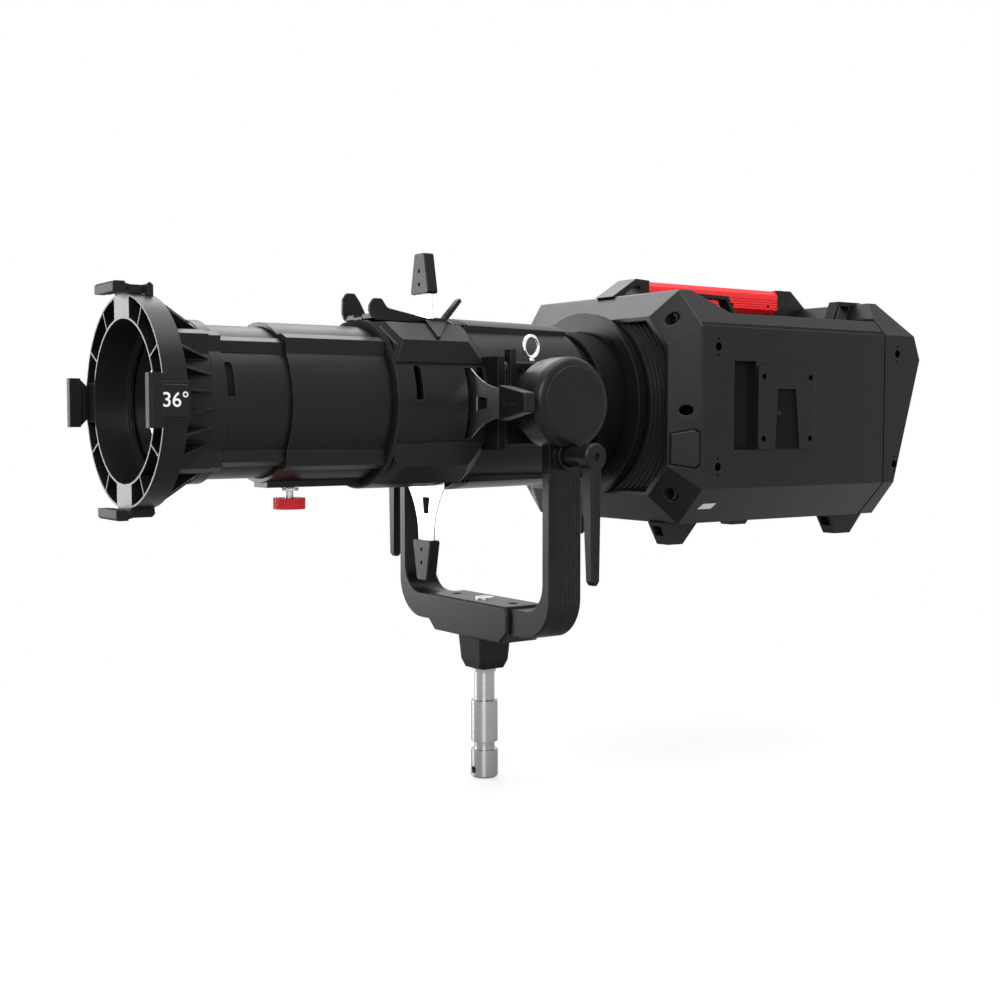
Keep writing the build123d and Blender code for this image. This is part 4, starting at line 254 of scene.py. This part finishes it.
def on_seam(desk, seam_y):
    """1 in the gap round the lamp head."""
    return 1 - (along(desk, "Y") - seam_y).size().above(SEAM_HALF_WIDTH)


# %% [markdown]
# Most of the light is black, but not one black. Castings are powder coated: a fine orange peel with
# an even, low sheen. Moulded covers have the finer grain of a spark-eroded mould. Both are a shade
# paler on their edges, partly where handling has polished them and partly as a painted highlight
# along each edge. Some places are darker: flat black paint, a dark seam, or painted shade. One
# function makes all of them, so they stay a family, and each call says only how its finish differs
# from that of a coated barrel casting.

# %% How a black finish is made
COATED = (0.004, 0.004, 0.0043)
MOULDED = (0.004, 0.004, 0.0044)
RUBBED_AND_HIGHLIT = (0.04, 0.04, 0.041)
PARTING_BAND = 0.002                # how far from the parting line an edge counts as closed


def black_finish(name, shade=COATED, worn_and_highlit=RUBBED_AND_HIGHLIT, rough=0.37, grain=0.0009, depth=0.00002,
                 soften=0.0008, sheen=0.2, parted=False, dark_and_shaded=()):
    """Black coating with edges paler from polish and from a painted highlight.

    `dark_and_shaded` lists the darker places, flat black paint, a dark seam or painted shade: a
    mask, the measure that it needs, and the grey there.
    A piece parted at the lens axis closes tight on its other half, so its edge there stays plain.
    """
    desk = Desk(name, Specular_IOR_Level=sheen)
    mottle = noise(desk, 0.03, 4.0)
    fine = noise(desk, grain, 2.0, 0.6)
    whole = (along(desk, "Z") - LENS_Z).size().above(PARTING_BAND) if parted else 1.0
    edge = edges(desk) * whole
    # paler edges: partly wear, partly a painted highlight
    black = blended(desk, edge * 0.8 + mottle * 0.12, shade, worn_and_highlit)
    gloss = rough - 0.05 + mottle * 0.1 - edge * 0.06
    for mask, measure, dark in dark_and_shaded:
        here = mask(desk, measure)
        black = blended(desk, here, black, grey(dark))
        gloss = gloss + here * 0.5
    desk.set(Base_Color=black, Roughness=gloss.clamped())
    relief(desk, fine, depth, soften, whole)
    return desk.material


# %% [markdown]
# The castings come first: the yoke and its housings in plain powder coat, and the barrel's halves,
# which are parted at the lens axis. The tube and the gate also have flat black bores. The flange in
# front of the lamp head and the plates inside the gate lie in the dark, so they get a darker,
# duller black: painted shade.

# %% Black castings
FLAT_BLACK = 0.0003
TUBE_BORE = 0.0697
GATE_BORE = 0.0825

powder_black = black_finish("powder_black", rough=0.33)
barrel_black = black_finish("barrel_black", parted=True)
tube_black = black_finish("tube_black", parted=True, dark_and_shaded=[(within, TUBE_BORE, FLAT_BLACK)])
gate_black = black_finish("gate_black", parted=True, dark_and_shaded=[(within, GATE_BORE, FLAT_BLACK)])
# painted shade for pieces that lie in the dark
shade_black = black_finish("shade_black", grey(0.002), grey(0.01), rough=0.6, grain=0.0006,
                            depth=0.00003, sheen=0.1)
print("castings:", powder_black.name, barrel_black.name, tube_black.name, gate_black.name)

# %% [markdown]
# The lamp head's shell is moulded, with a fine, deep grain, duller than paint, and with soft edges.
# Its housing has painted shade in the recess and a dark seam, and its side plates lie partly in the
# recess, where the shade is painted on them too. The hooks are duller again, since frames slide in
# and out of them, and the wells of screws are painted shade: black with no sheen at all.

# %% Black mouldings
# grey of the painted shade in the recess behind the side faces
SHADED_BLACK = 0.0012
SEAM_Y = 0.4518
side_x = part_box("lamp_housing")[1][0]
plate_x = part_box("side_plates")[1][0]
shell = {"shade": MOULDED, "rough": 0.4, "grain": 0.0006, "depth": 0.00003}

moulded_black = black_finish("moulded_black", MOULDED, grain=0.0007)
panel_black = black_finish("panel_black", **shell, soften=0.0015)
cowl_black = black_finish("cowl_black", MOULDED, (0.05, 0.05, 0.051), rough=0.34, grain=0.0006,
                          depth=0.00003, soften=0.002)
# painted shade in the recess behind the side faces
housing_black = black_finish("housing_black", **shell, soften=0.0015,
                             dark_and_shaded=[(recess_shade, side_x - 0.0006, SHADED_BLACK),
                                   (on_seam, SEAM_Y, FLAT_BLACK)])
# painted shade where the plates lie in the recess
plate_black = black_finish("plate_black", **shell,
                           dark_and_shaded=[(recess_shade, plate_x - 0.0014, SHADED_BLACK)])
hook_black = black_finish("hook_black", (0.006, 0.006, 0.0064), rough=0.55, grain=0.0007,
                          sheen=0.15)
# painted shade: black with no sheen, for wells, small holes and vents
well_shade_black = black_finish("well_shade_black", grey(0.001), grey(0.002), rough=0.6, depth=0.00001,
                          soften=0.0, sheen=0.0)
rubber_black = black_finish("rubber_black", grey(0.006), grey(0.012), rough=0.6, grain=0.001,
                            depth=0.00003)
print("lamp head's side face at x =", round(side_x, 4), "and its plates' at", round(plate_x, 4))

# %% [markdown]
# The knob and the grip are coloured red right through, with a soft moulded surface. The knob and
# its steel stem are one CAD piece, so its finish turns from plastic to metal just above the
# knob's top. Cutting the piece in two would do the same with one more mesh to keep in step.

# %% Red plastic
KNOB_TOP = LENS_Z - 0.0907


def red_finish(name, shade, bright, steel_above=None):
    """Red plastic; above a height it can turn into bright turned steel."""
    desk = Desk(name, Specular_IOR_Level=0.4)
    mottle = noise(desk, 0.02)
    # paler edges: partly wear, partly a painted highlight
    colour = blended(desk, mottle * 0.6 + edges(desk) * 0.3, shade, bright)
    rough = 0.36 + mottle * 0.1
    if steel_above:
        steel = along(desk, "Z").above(steel_above)
        stem = blended(desk, mottle, (0.5, 0.5, 0.49), (0.7, 0.7, 0.68))
        colour = blended(desk, steel, colour, stem)
        rough = rough - steel * 0.12
        desk.set(Metallic=steel)
    desk.set(Base_Color=colour, Roughness=rough)
    relief(desk, noise(desk, 0.0008, 2.0), 0.00002, 0.0008)
    return desk.material


signal_red = red_finish("signal_red", (0.88, 0.008, 0.012), (0.96, 0.03, 0.035))
knob_red = red_finish("knob_red", (0.5, 0.004, 0.006), (0.62, 0.012, 0.014), KNOB_TOP + 0.0001)
print("red plastic:", signal_red.name, knob_red.name)

# %% [markdown]
# Bare metals: the turned spigot with rings of tool marks round its axis, blades of plain
# stainless sheet, a bright plated ring, cast aluminium inside the lamp, and brass bushes. Tool
# marks are a noise that is stretched round the piece, and anisotropy spreads its highlight across
# them. Modelling each groove would need millions of faces, for marks too fine to be seen one by
# one.

# %% Metals
ACROSS_MARKS = 0.25                 # a quarter turn of the way in which highlights spread


def metal_finish(name, shade, bright, rough, stretch=(1, 1, 1), grain=0.0006, depth=0.000004,
                 spread=0.16, brushed=0.0):
    """Bare metal whose scratches vary its roughness by `spread`; `brushed` is its anisotropy."""
    desk = Desk(name, Metallic=1.0, Anisotropic=brushed, Anisotropic_Rotation=ACROSS_MARKS)
    desk.place = desk.add("ShaderNodeMapping", {}, {"Vector": desk.place, "Scale": stretch})
    scratch = noise(desk, grain, 3.0, 0.6)
    mottle = noise(desk, 0.02, 2.0)
    desk.set(Base_Color=blended(desk, scratch * 0.5 + mottle * 0.5, shade, bright))
    desk.set(Roughness=(rough - spread / 2 + scratch * spread).clamped())
    relief(desk, scratch, depth, 0.0005)
    return desk.material


turned_steel = metal_finish("turned_steel", (0.42, 0.42, 0.416), (0.52, 0.52, 0.515), 0.34,
                            stretch=(0.02, 0.02, 1), grain=0.0008, depth=0.0000005, spread=0.06,
                            brushed=0.9)
sheet_steel = metal_finish("sheet_steel", (0.62, 0.62, 0.61), (0.66, 0.66, 0.65), 0.3,
                           grain=0.01, depth=0.0000001, spread=0.02)
bright_chrome = metal_finish("bright_chrome", grey(0.8), grey(0.9), 0.1)
cast_aluminium = metal_finish("cast_aluminium", (0.55, 0.56, 0.57), (0.72, 0.73, 0.74), 0.4)
bush_brass = metal_finish("bush_brass", (0.5, 0.34, 0.13), (0.68, 0.5, 0.22), 0.35)
dark_screw = metal_finish("dark_screw", grey(0.008), (0.02, 0.02, 0.021), 0.4)
print("metals:", turned_steel.name, sheet_steel.name, bright_chrome.name, cast_aluminium.name)

# %% [markdown]
# Three bolts hold the yoke's block. They are one CAD piece with two finishes: the centre bolt is
# bright, and the two socket screws beside it are blackened. The distance from the middle parts
# them.

# %% Yoke bolts
CENTRE_BOLT = 0.03                  # the bright bolt lies within this distance of the middle


def bolt_finish():
    """Bright steel in the middle, blackened steel further out."""
    desk = Desk("yoke_bolts", Specular_IOR_Level=0.1)
    dark = along(desk, "X").size().above(CENTRE_BOLT, 0.001)
    grain = noise(desk, 0.0006)
    desk.set(Base_Color=blended(desk, dark, (0.85, 0.85, 0.83), grey(0.003)))
    desk.set(Metallic=1 - dark, Roughness=(0.24 + grain * 0.12 + dark * 0.3).clamped())
    relief(desk, grain, 0.000003, 0.0005)
    return desk.material


yoke_bolts = bolt_finish()
print("bolts within", CENTRE_BOLT, "m of the middle are bright")

# %% [markdown]
# The lenses are thick clear glass with a faint dust on them. Perfectly clean glass looks like a
# hole, so a slow noise gives it a trace of tint and of roughness.

# %% Glass
def lens_finish():
    desk = Desk("lens_glass", Transmission_Weight=1.0, IOR=1.5)
    dust = noise(desk, 0.03, 3.0, 0.6)
    desk.set(Base_Color=blended(desk, dust, (0.9, 0.93, 0.95), (0.97, 0.98, 1.0)))
    desk.set(Roughness=dust * 0.008)
    return desk.material


lens_glass = lens_finish()
print("glass:", lens_glass.name)

# %% [markdown]
# Each CAD piece gets one finish. The table names the pieces of each finish, and what isn't in it
# is a plain coated casting. A table is easier to check than sixty assignments spread over the
# script.

# %% Which piece has which finish
finishes = {
    turned_steel: ["spigot"],
    sheet_steel: ["shutter_blade_top", "shutter_blade_bottom", "shutter_blade_near",
                  "shutter_blade_far"],
    dark_screw: ["cowl_bolts"],
    yoke_bolts: ["yoke_screws"],
    bright_chrome: ["safety_eye"],
    bush_brass: ["tilt_bushes"],
    signal_red: ["carry_handle"],
    knob_red: ["focus_knob"],
    lens_glass: ["objective_lenses", "condenser_lenses"],
    cast_aluminium: ["heat_sink", "led_module", "reflector", "condenser_cell"],
    rubber_black: ["brake_shoes"],
    housing_black: ["lamp_housing"],
    barrel_black: ["sleeve_upper", "sleeve_lower", "rear_barrel_upper", "rear_barrel_lower"],
    tube_black: ["lens_tube_upper", "lens_tube_lower"],
    gate_black: ["gate_upper", "gate_lower"],
    plate_black: ["side_plates"],
    panel_black: ["rear_bezel", "release_button"],
    cowl_black: ["lamp_cowl"],
    hook_black: ["frame_hooks", "frame_latch"],
    shade_black: ["mount_flange", "gate_plates"],
    moulded_black: [
        "tilt_caps", "tilt_lever_near", "tilt_lever_far", "shutter_handle_top",
        "shutter_handle_bottom", "shutter_handle_near", "shutter_handle_far", "slot_cover",
        "front_ring", "lens_retainers", "rear_grille", "fan_frame", "fan_rotor", "power_inlet",
        "handle_brackets", "bumpers", "lamp_cone",
    ],
}
finish_of = {name: finish for finish, names in finishes.items() for name in names}
for name, node in nodes.items():
    node.data.materials.clear()
    node.data.materials.append(finish_of.get(name, powder_black))
print(len(nodes) - len(finish_of), "castings in", powder_black.name)

# %% [markdown]
# A CAD model stops at the pieces that matter to the build. What is left is small: screw heads,
# dark holes, a number plate. All of them are closed rings of points joined by a skin: a turned
# profile, a flat plate, or a strip rolled round the barrel. So one helper skins the rings, and
# the shapes below only say where their rings go. A second helper gives a piece its finish and the
# body it rides on.

# %% Skin and finish of a small piece
def skin(name, rings):
    """Closed mesh over rings of points, with a cap on the first and the last ring."""
    work = bmesh.new()
    rings = [[work.verts.new(point) for point in ring] for ring in rings]
    for low, high in zip(rings, rings[1:]):
        for i in range(len(low)):
            j = (i + 1) % len(low)
            work.faces.new((low[i], low[j], high[j], high[i]))
    work.faces.new(rings[-1])
    work.faces.new(list(reversed(rings[0])))
    bmesh.ops.recalc_face_normals(work, faces=work.faces)
    mesh = bpy.data.meshes.new(name)
    work.to_mesh(mesh)
    work.free()
    return mesh


def finished(name, mesh, finish, body, soften=0.0):
    """Give a new mesh its finish, edges softened by a width, and the body that it rides on."""
    piece = bpy.data.objects.new(name, mesh)
    bpy.context.collection.objects.link(piece)
    mesh.materials.append(finish)
    if soften:
        bevel = piece.modifiers.new("soft_edges", "BEVEL")
        bevel.width = soften
        bevel.segments = 2
        bevel.limit_method = "ANGLE"
    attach(piece, body)
    return piece


# %% [markdown]
# Socket-head screws hold the panels, each at the bottom of a deep well. The screw and the dark cup
# that lines its well are one profile, turned on a lathe, all black with no sheen: painted shade in
# the well. Tapped holes and the grip's pins show only a dark mouth, so each of those is a thin disc
# of the same black that stands a hair proud of its face; in the holes it is painted shade.

# %% Screws and small holes
CUP_DEPTH = 0.0024                  # the black cup that lines each well is painted shade
CUP_WALL = 0.0002
CUP_FLOOR = 0.0001


def lathe(name, profile, middle, out, steps=32):
    """Mesh of a profile of (radius, height) points turned round an axis that points `out`."""
    place = Matrix.Translation(middle) @ out.to_track_quat("Z", "Y").to_matrix().to_4x4()
    turn = [2 * math.pi * i / steps for i in range(steps)]
    return skin(name, [[place @ Vector((radius * math.cos(a), radius * math.sin(a), height))
                        for a in turn] for radius, height in profile])


def socket_screw(name, middle, out, radius, well, body):
    """A screw head of a radius in the middle of a cup that lines its well, both black with no
    sheen: painted shade.
    """
    inner = well - CUP_WALL
    cup = [(well, 0.00002), (well, CUP_DEPTH), (inner, CUP_DEPTH), (inner, CUP_FLOOR)]
    head = [(radius, CUP_FLOOR), (radius, radius * 0.35), (radius * 0.86, radius * 0.5)]
    socket = [(radius * 0.55, radius * 0.5), (radius * 0.5, radius * 0.1)]
    screw = lathe(name, cup + head + socket, middle, out)
    return finished(name, screw, well_shade_black, body)


def shade_disc(name, middle, out, radius, body="barrel"):
    """A black disc for painted shade in the mouth of a small hole, or the end of a blackened pin.
    """
    disc = lathe(name, [(radius, -0.0003), (radius, 0.00004)], middle, out, 16)
    return finished(name, disc, well_shade_black, body)


# %% [markdown]
# Four wells sit near the corners of each side of the lamp head, with a small hole above and below
# each. Both sides are alike, so one loop with a sign does both.

# %% Screws of the lamp head
NEAR = Vector((1, 0, 0))
SIDES = (("near", 1), ("far", -1))
WELL_PLACES = ((0.188, 0.060), (0.188, -0.065), (0.474, 0.060), (0.471, -0.067))
WELL_FLOOR = 0.0025                 # how far the floor of a well lies behind the side face
WELL_RADIUS = 0.00445
SCREW_RADIUS = 0.0026
HOLE_RADIUS = 0.0013
HOLE_SHIFT = 0.0085                 # from the middle of a well to the hole above or below it

for side, way in SIDES:
    for i, (y, z) in enumerate(WELL_PLACES):
        middle = Vector((way * (side_x - WELL_FLOOR), y, LENS_Z + z))
        socket_screw("panel_screw_%s_%d" % (side, i), middle, NEAR * way, SCREW_RADIUS,
                     WELL_RADIUS, "barrel")
        for word, shift in (("low", -HOLE_SHIFT), ("high", HOLE_SHIFT)):
            mouth = middle + Vector((way * WELL_FLOOR, 0, shift))
            shade_disc("panel_pip_%s_%d_%s" % (side, i, word), mouth, NEAR * way, HOLE_RADIUS)
print("panel screws:", len(SIDES) * len(WELL_PLACES))

# %% [markdown]
# The grip has two blackened pins on each side, each accessory plate has a tapped hole in every
# corner, and the yoke's block has one on each side of its bolt; the disc in each tapped hole is
# painted shade. Holes cut in the CAD model would weigh down its meshes for marks a few millimetres
# wide.

# %% Pins and tapped holes
UP = Vector((0, 0, 1))
PIN_RADIUS = 0.0016
PIN_HEIGHT = 0.121                  # above the lens axis
PIN_PLACES = (0.348, 0.408)
PLATE_HOLE_RADIUS = 0.0031
PLATE_HOLES = ((0.2515, 0.030), (0.2515, -0.036), (0.3235, 0.030), (0.3235, -0.036))
BLOCK_HOLE_RADIUS = 0.0052
BLOCK_HOLE_X = 0.0515
grip_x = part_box("carry_handle")[1][0]
block_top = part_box("yoke_block")[1][2]

for side, way in SIDES:
    for i, y in enumerate(PIN_PLACES):
        pin = Vector((way * grip_x, y, LENS_Z + PIN_HEIGHT))
        shade_disc("grip_pip_%s_%d" % (side, i), pin, NEAR * way, PIN_RADIUS)
    for i, (y, z) in enumerate(PLATE_HOLES):
        hole = Vector((way * plate_x, y, LENS_Z + z))
        shade_disc("plate_pip_%s_%d" % (side, i), hole, NEAR * way, PLATE_HOLE_RADIUS)
    hole = Vector((way * BLOCK_HOLE_X, 0, block_top))
    shade_disc("yoke_pip_%s" % side, hole, UP, BLOCK_HOLE_RADIUS, "yoke")
print("grip pins at x =", round(grip_x, 4), "and holes in the block at z =", round(block_top, 4))

# %% [markdown]
# The upright vents in the sides of the gate would let daylight straight through. Each vent gets a
# thin sheet behind it, a strip rolled to the bore of the gate, in black with no sheen, so that the
# vent shows painted shade. A flat plate bent by a modifier would do too, but its radius is harder
# to hit.

# %% Sheets of painted shade behind the gate's vents
SHEET_RADIUS = 0.0783
SHEET_THICK = 0.0004
VENT_ARC = (math.radians(-3), math.radians(33))
VENTS = (("front", (-0.1373, -0.1267)), ("rear", (-0.0645, -0.0535)))


def rolled_sheet(name, arc, reach, steps=12):
    """Mesh of a strip rolled round the lens axis, between two angles and two places along it."""
    front, rear = reach
    back = SHEET_RADIUS + SHEET_THICK
    section = ((SHEET_RADIUS, front), (SHEET_RADIUS, rear), (back, rear), (back, front))
    angles = [arc[0] + (arc[1] - arc[0]) * i / steps for i in range(steps + 1)]
    return skin(name, [[(r * math.cos(a), y, LENS_Z + r * math.sin(a)) for r, y in section]
                       for a in angles])


for side, arc in (("near", VENT_ARC), ("far", tuple(math.pi - a for a in VENT_ARC))):
    for where, reach in VENTS:
        name = "vent_sheet_%s_%s" % (side, where)
        finished(name, rolled_sheet(name, arc, reach), well_shade_black, "barrel")
print("vent sheets from", [round(math.degrees(a)) for a in VENT_ARC], "degrees")

# %% [markdown]
# The near hook carries a small moulded plate with the beam angle on it. A plate is a flat outline
# pushed out by its thickness, with its edges softened by a Bevel modifier.

# %% Plate on the near hook
HOOK_OUT = 0.00705                  # from the front ring's widest point to the hook's face
PLATE_PROUD = 0.0021
PLATE_SUNK = 0.0006                 # the plate starts inside the hook, so no gap shows
PLATE_Y = (-0.3968, -0.3745)
PLATE_HALF_HEIGHT = 0.0135


def slab(name, corners, out, thick):
    """Mesh of a flat outline, pushed out by its thickness."""
    return skin(name, [corners, [c + out * thick for c in corners]])


hook_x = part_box("front_ring")[1][0] + HOOK_OUT
panel_x = hook_x + PLATE_PROUD
outline = [(PLATE_Y[0], -1), (PLATE_Y[1], -1), (PLATE_Y[1], 1), (PLATE_Y[0], 1)]
corners = [Vector((hook_x - PLATE_SUNK, y, LENS_Z + end * PLATE_HALF_HEIGHT)) for y, end in outline]
plate = slab("number_panel", corners, NEAR, PLATE_PROUD + PLATE_SUNK)
finished("number_panel", plate, moulded_black, "lens_tube", 0.0006)
print("plate's face at x =", round(panel_x, 4))

# %% [markdown]
# The beam angle is a plain number, printed in white. Text is the one thing that is quicker to
# take from a font than to draw, so it is a text object, made thin and laid on the plate.

# %% Beam angle
def white_print():
    """White print that is a little uneven, as ink on a grained moulding is."""
    desk = Desk("white_print", Specular_IOR_Level=0.3)
    mottle = noise(desk, 0.002)
    desk.set(Base_Color=blended(desk, mottle, grey(0.62), grey(0.8)), Roughness=0.5 + mottle * 0.1)
    return desk.material


TEXT_Y = -0.3852
TEXT_SIZE = 0.0172
TEXT_WEIGHT = 0.00012               # thickens the strokes
TEXT_THICK = 0.00006
white_paint = white_print()
figures = bpy.data.curves.new("beam_angle", "FONT")
figures.body = "36\u00b0"
figures.size = TEXT_SIZE
figures.offset = TEXT_WEIGHT
figures.align_x = "CENTER"
figures.align_y = "CENTER"
figures.extrude = TEXT_THICK
angle_mark = bpy.data.objects.new("beam_angle", figures)
facing_near = ((0, 0, 1, panel_x), (1, 0, 0, TEXT_Y), (0, 1, 0, LENS_Z), (0, 0, 0, 1))
angle_mark.matrix_world = Matrix(facing_near)
bpy.context.collection.objects.link(angle_mark)
figures.materials.append(white_paint)
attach(angle_mark, "lens_tube")
print("beam angle", figures.body, "at", [round(v, 4) for v in angle_mark.location])

# %% [markdown]
# A small pale label sits on the lower bevel of the lamp head. Here it is left blank: a thin plate
# whose ends slant, laid on the bevel a fifth of a millimetre proud. A decal texture would need an
# image, and a blank label has nothing to show that a plate can't.

# %% Blank label under the lamp head
LABEL_THICK = 0.0002
LABEL_CORNERS = ((-0.011, -0.004), (0.008, -0.004), (0.011, 0.004), (-0.008, 0.004))
bevel_along = Vector((36, 0, 38)).normalized()
bevel_out = Vector((38, 0, -36)).normalized()
label_at = Vector((side_x - 0.018, 0.190, LENS_Z - 0.107))
corners = [label_at + Vector((0, y, 0)) + bevel_along * t for y, t in LABEL_CORNERS]
label = slab("blank_label", corners, bevel_out, LABEL_THICK)
finished("blank_label", label, white_paint, "barrel")
print("label at", [round(v, 3) for v in label_at])

# %% [markdown]
# A white studio begins with a pale floor under the spigot. To the camera and through glass it is
# pale near the light, where it keeps the shadow, and plain white further out. Other rays meet a
# darker floor, so that it doesn't light the lamp from below. An endless curved backdrop would do
# the same for one view, but a flat floor works from every side.

# %% Floor
FLOOR_HALF_WIDTH = 6.0
FLOOR_DROP = 0.001                  # below the spigot's foot


def floor_finish():
    """Pale floor that fades to plain white further out."""
    desk = Desk("studio_floor", Specular_IOR_Level=0.2)
    mottle = noise(desk, 0.4, 2.0)
    straight, through, glossy = (desk.add("ShaderNodeLightPath", {}, {}, "Is %s Ray" % kind)
                                 for kind in ("Camera", "Transmission", "Glossy"))
    seen_by = (straight + through).clamped()
    pale = blended(desk, mottle, grey(0.86), grey(0.9))
    desk.set(Base_Color=blended(desk, seen_by, grey(0.28), pale), Roughness=0.7 + mottle * 0.1)
    reach = vector_maths(desk, "LENGTH", [desk.place], "Value")
    far = (reach * 1.4 - 0.2).clamped()
    whiten = (seen_by * (0.55 + far * 0.45) + glossy * far).clamped()
    white = desk.add("ShaderNodeEmission", {}, {"Color": (1, 1, 1, 1), "Strength": 1.0})
    paint = Wire(desk, desk.shader.outputs[0])
    seen = desk.add("ShaderNodeMixShader", {}, {0: whiten, 1: paint, 2: white})
    desk.plug(desk.tree.nodes["Material Output"].inputs["Surface"], seen)
    return desk.material


floor = bpy.data.objects.new("studio_floor", bpy.data.meshes.new("studio_floor"))
sheet = bmesh.new()
bmesh.ops.create_grid(sheet, x_segments=8, y_segments=8, size=FLOOR_HALF_WIDTH)
sheet.to_mesh(floor.data)
sheet.free()
floor.location.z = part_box("spigot")[0][2] - FLOOR_DROP
floor.data.materials.append(floor_finish())
bpy.context.collection.objects.link(floor)
print("floor at z =", round(floor.location.z, 4))

# %% [markdown]
# The surround is the rest of the room: plain white to the camera, in reflections and through
# glass, and a little less bright as a light, so that pale surfaces keep their colour. One white
# room could be built from walls, but the world's background is the same from every side and costs
# no faces.

# %% Surround
AS_LIGHT = 0.85
AS_SEEN = 1.0
world = bpy.data.worlds.new("surround")
bpy.context.scene.world = world
world.use_nodes = True
tree = world.node_tree
rays = tree.nodes.new("ShaderNodeLightPath")
seen = rays.outputs["Is Camera Ray"]
for kind in ("Is Glossy Ray", "Is Transmission Ray"):
    either = tree.nodes.new("ShaderNodeMath")
    either.operation = "MAXIMUM"
    tree.links.new(seen, either.inputs[0])
    tree.links.new(rays.outputs[kind], either.inputs[1])
    seen = either.outputs[0]
strength = tree.nodes.new("ShaderNodeMapRange")
strength.inputs["To Min"].default_value = AS_LIGHT
strength.inputs["To Max"].default_value = AS_SEEN
tree.links.new(seen, strength.inputs["Value"])
background = tree.nodes["Background"]
background.inputs["Color"].default_value = (1, 1, 1, 1)
tree.links.new(strength.outputs[0], background.inputs["Strength"])
print("surround:", AS_SEEN, "as seen and", AS_LIGHT, "as light")

# %% [markdown]
# Black objects show what they reflect, so the lamps are large and soft: one overhead for the
# tops, a key from the near front, one low at the far front for the ring, and one high on the far
# side that draws a rim along the barrel. Small hard lamps would leave bright dots and lose the
# shapes between.

# %% Soft lamps
LAMPS = {                           # place, width, watts
    "top": ((0.1, 0.0, 2.3), 1.8, 44),
    "key": ((1.7, -1.4, 1.3), 1.0, 30),
    "front": ((-1.9, -1.1, 0.4), 1.0, 22),
    "rim": ((-1.45, 0.45, 2.0), 1.3, 20),
}
aim = Vector((0, 0.05, LENS_Z))
for name, (place, width, watts) in LAMPS.items():
    lamp = bpy.data.objects.new(name + "_lamp", bpy.data.lights.new(name + "_lamp", "AREA"))
    lamp.data.size = width
    lamp.data.energy = watts
    lamp.location = place
    lamp.rotation_mode = "QUATERNION"
    lamp.rotation_quaternion = (aim - Vector(place)).to_track_quat("-Z", "Y")
    bpy.context.collection.objects.link(lamp)
print(len(LAMPS), "soft lamps")

# %% [markdown]
# The Standard view shows each colour as it is written.

# %% Look
bpy.context.scene.view_settings.view_transform = "Standard"
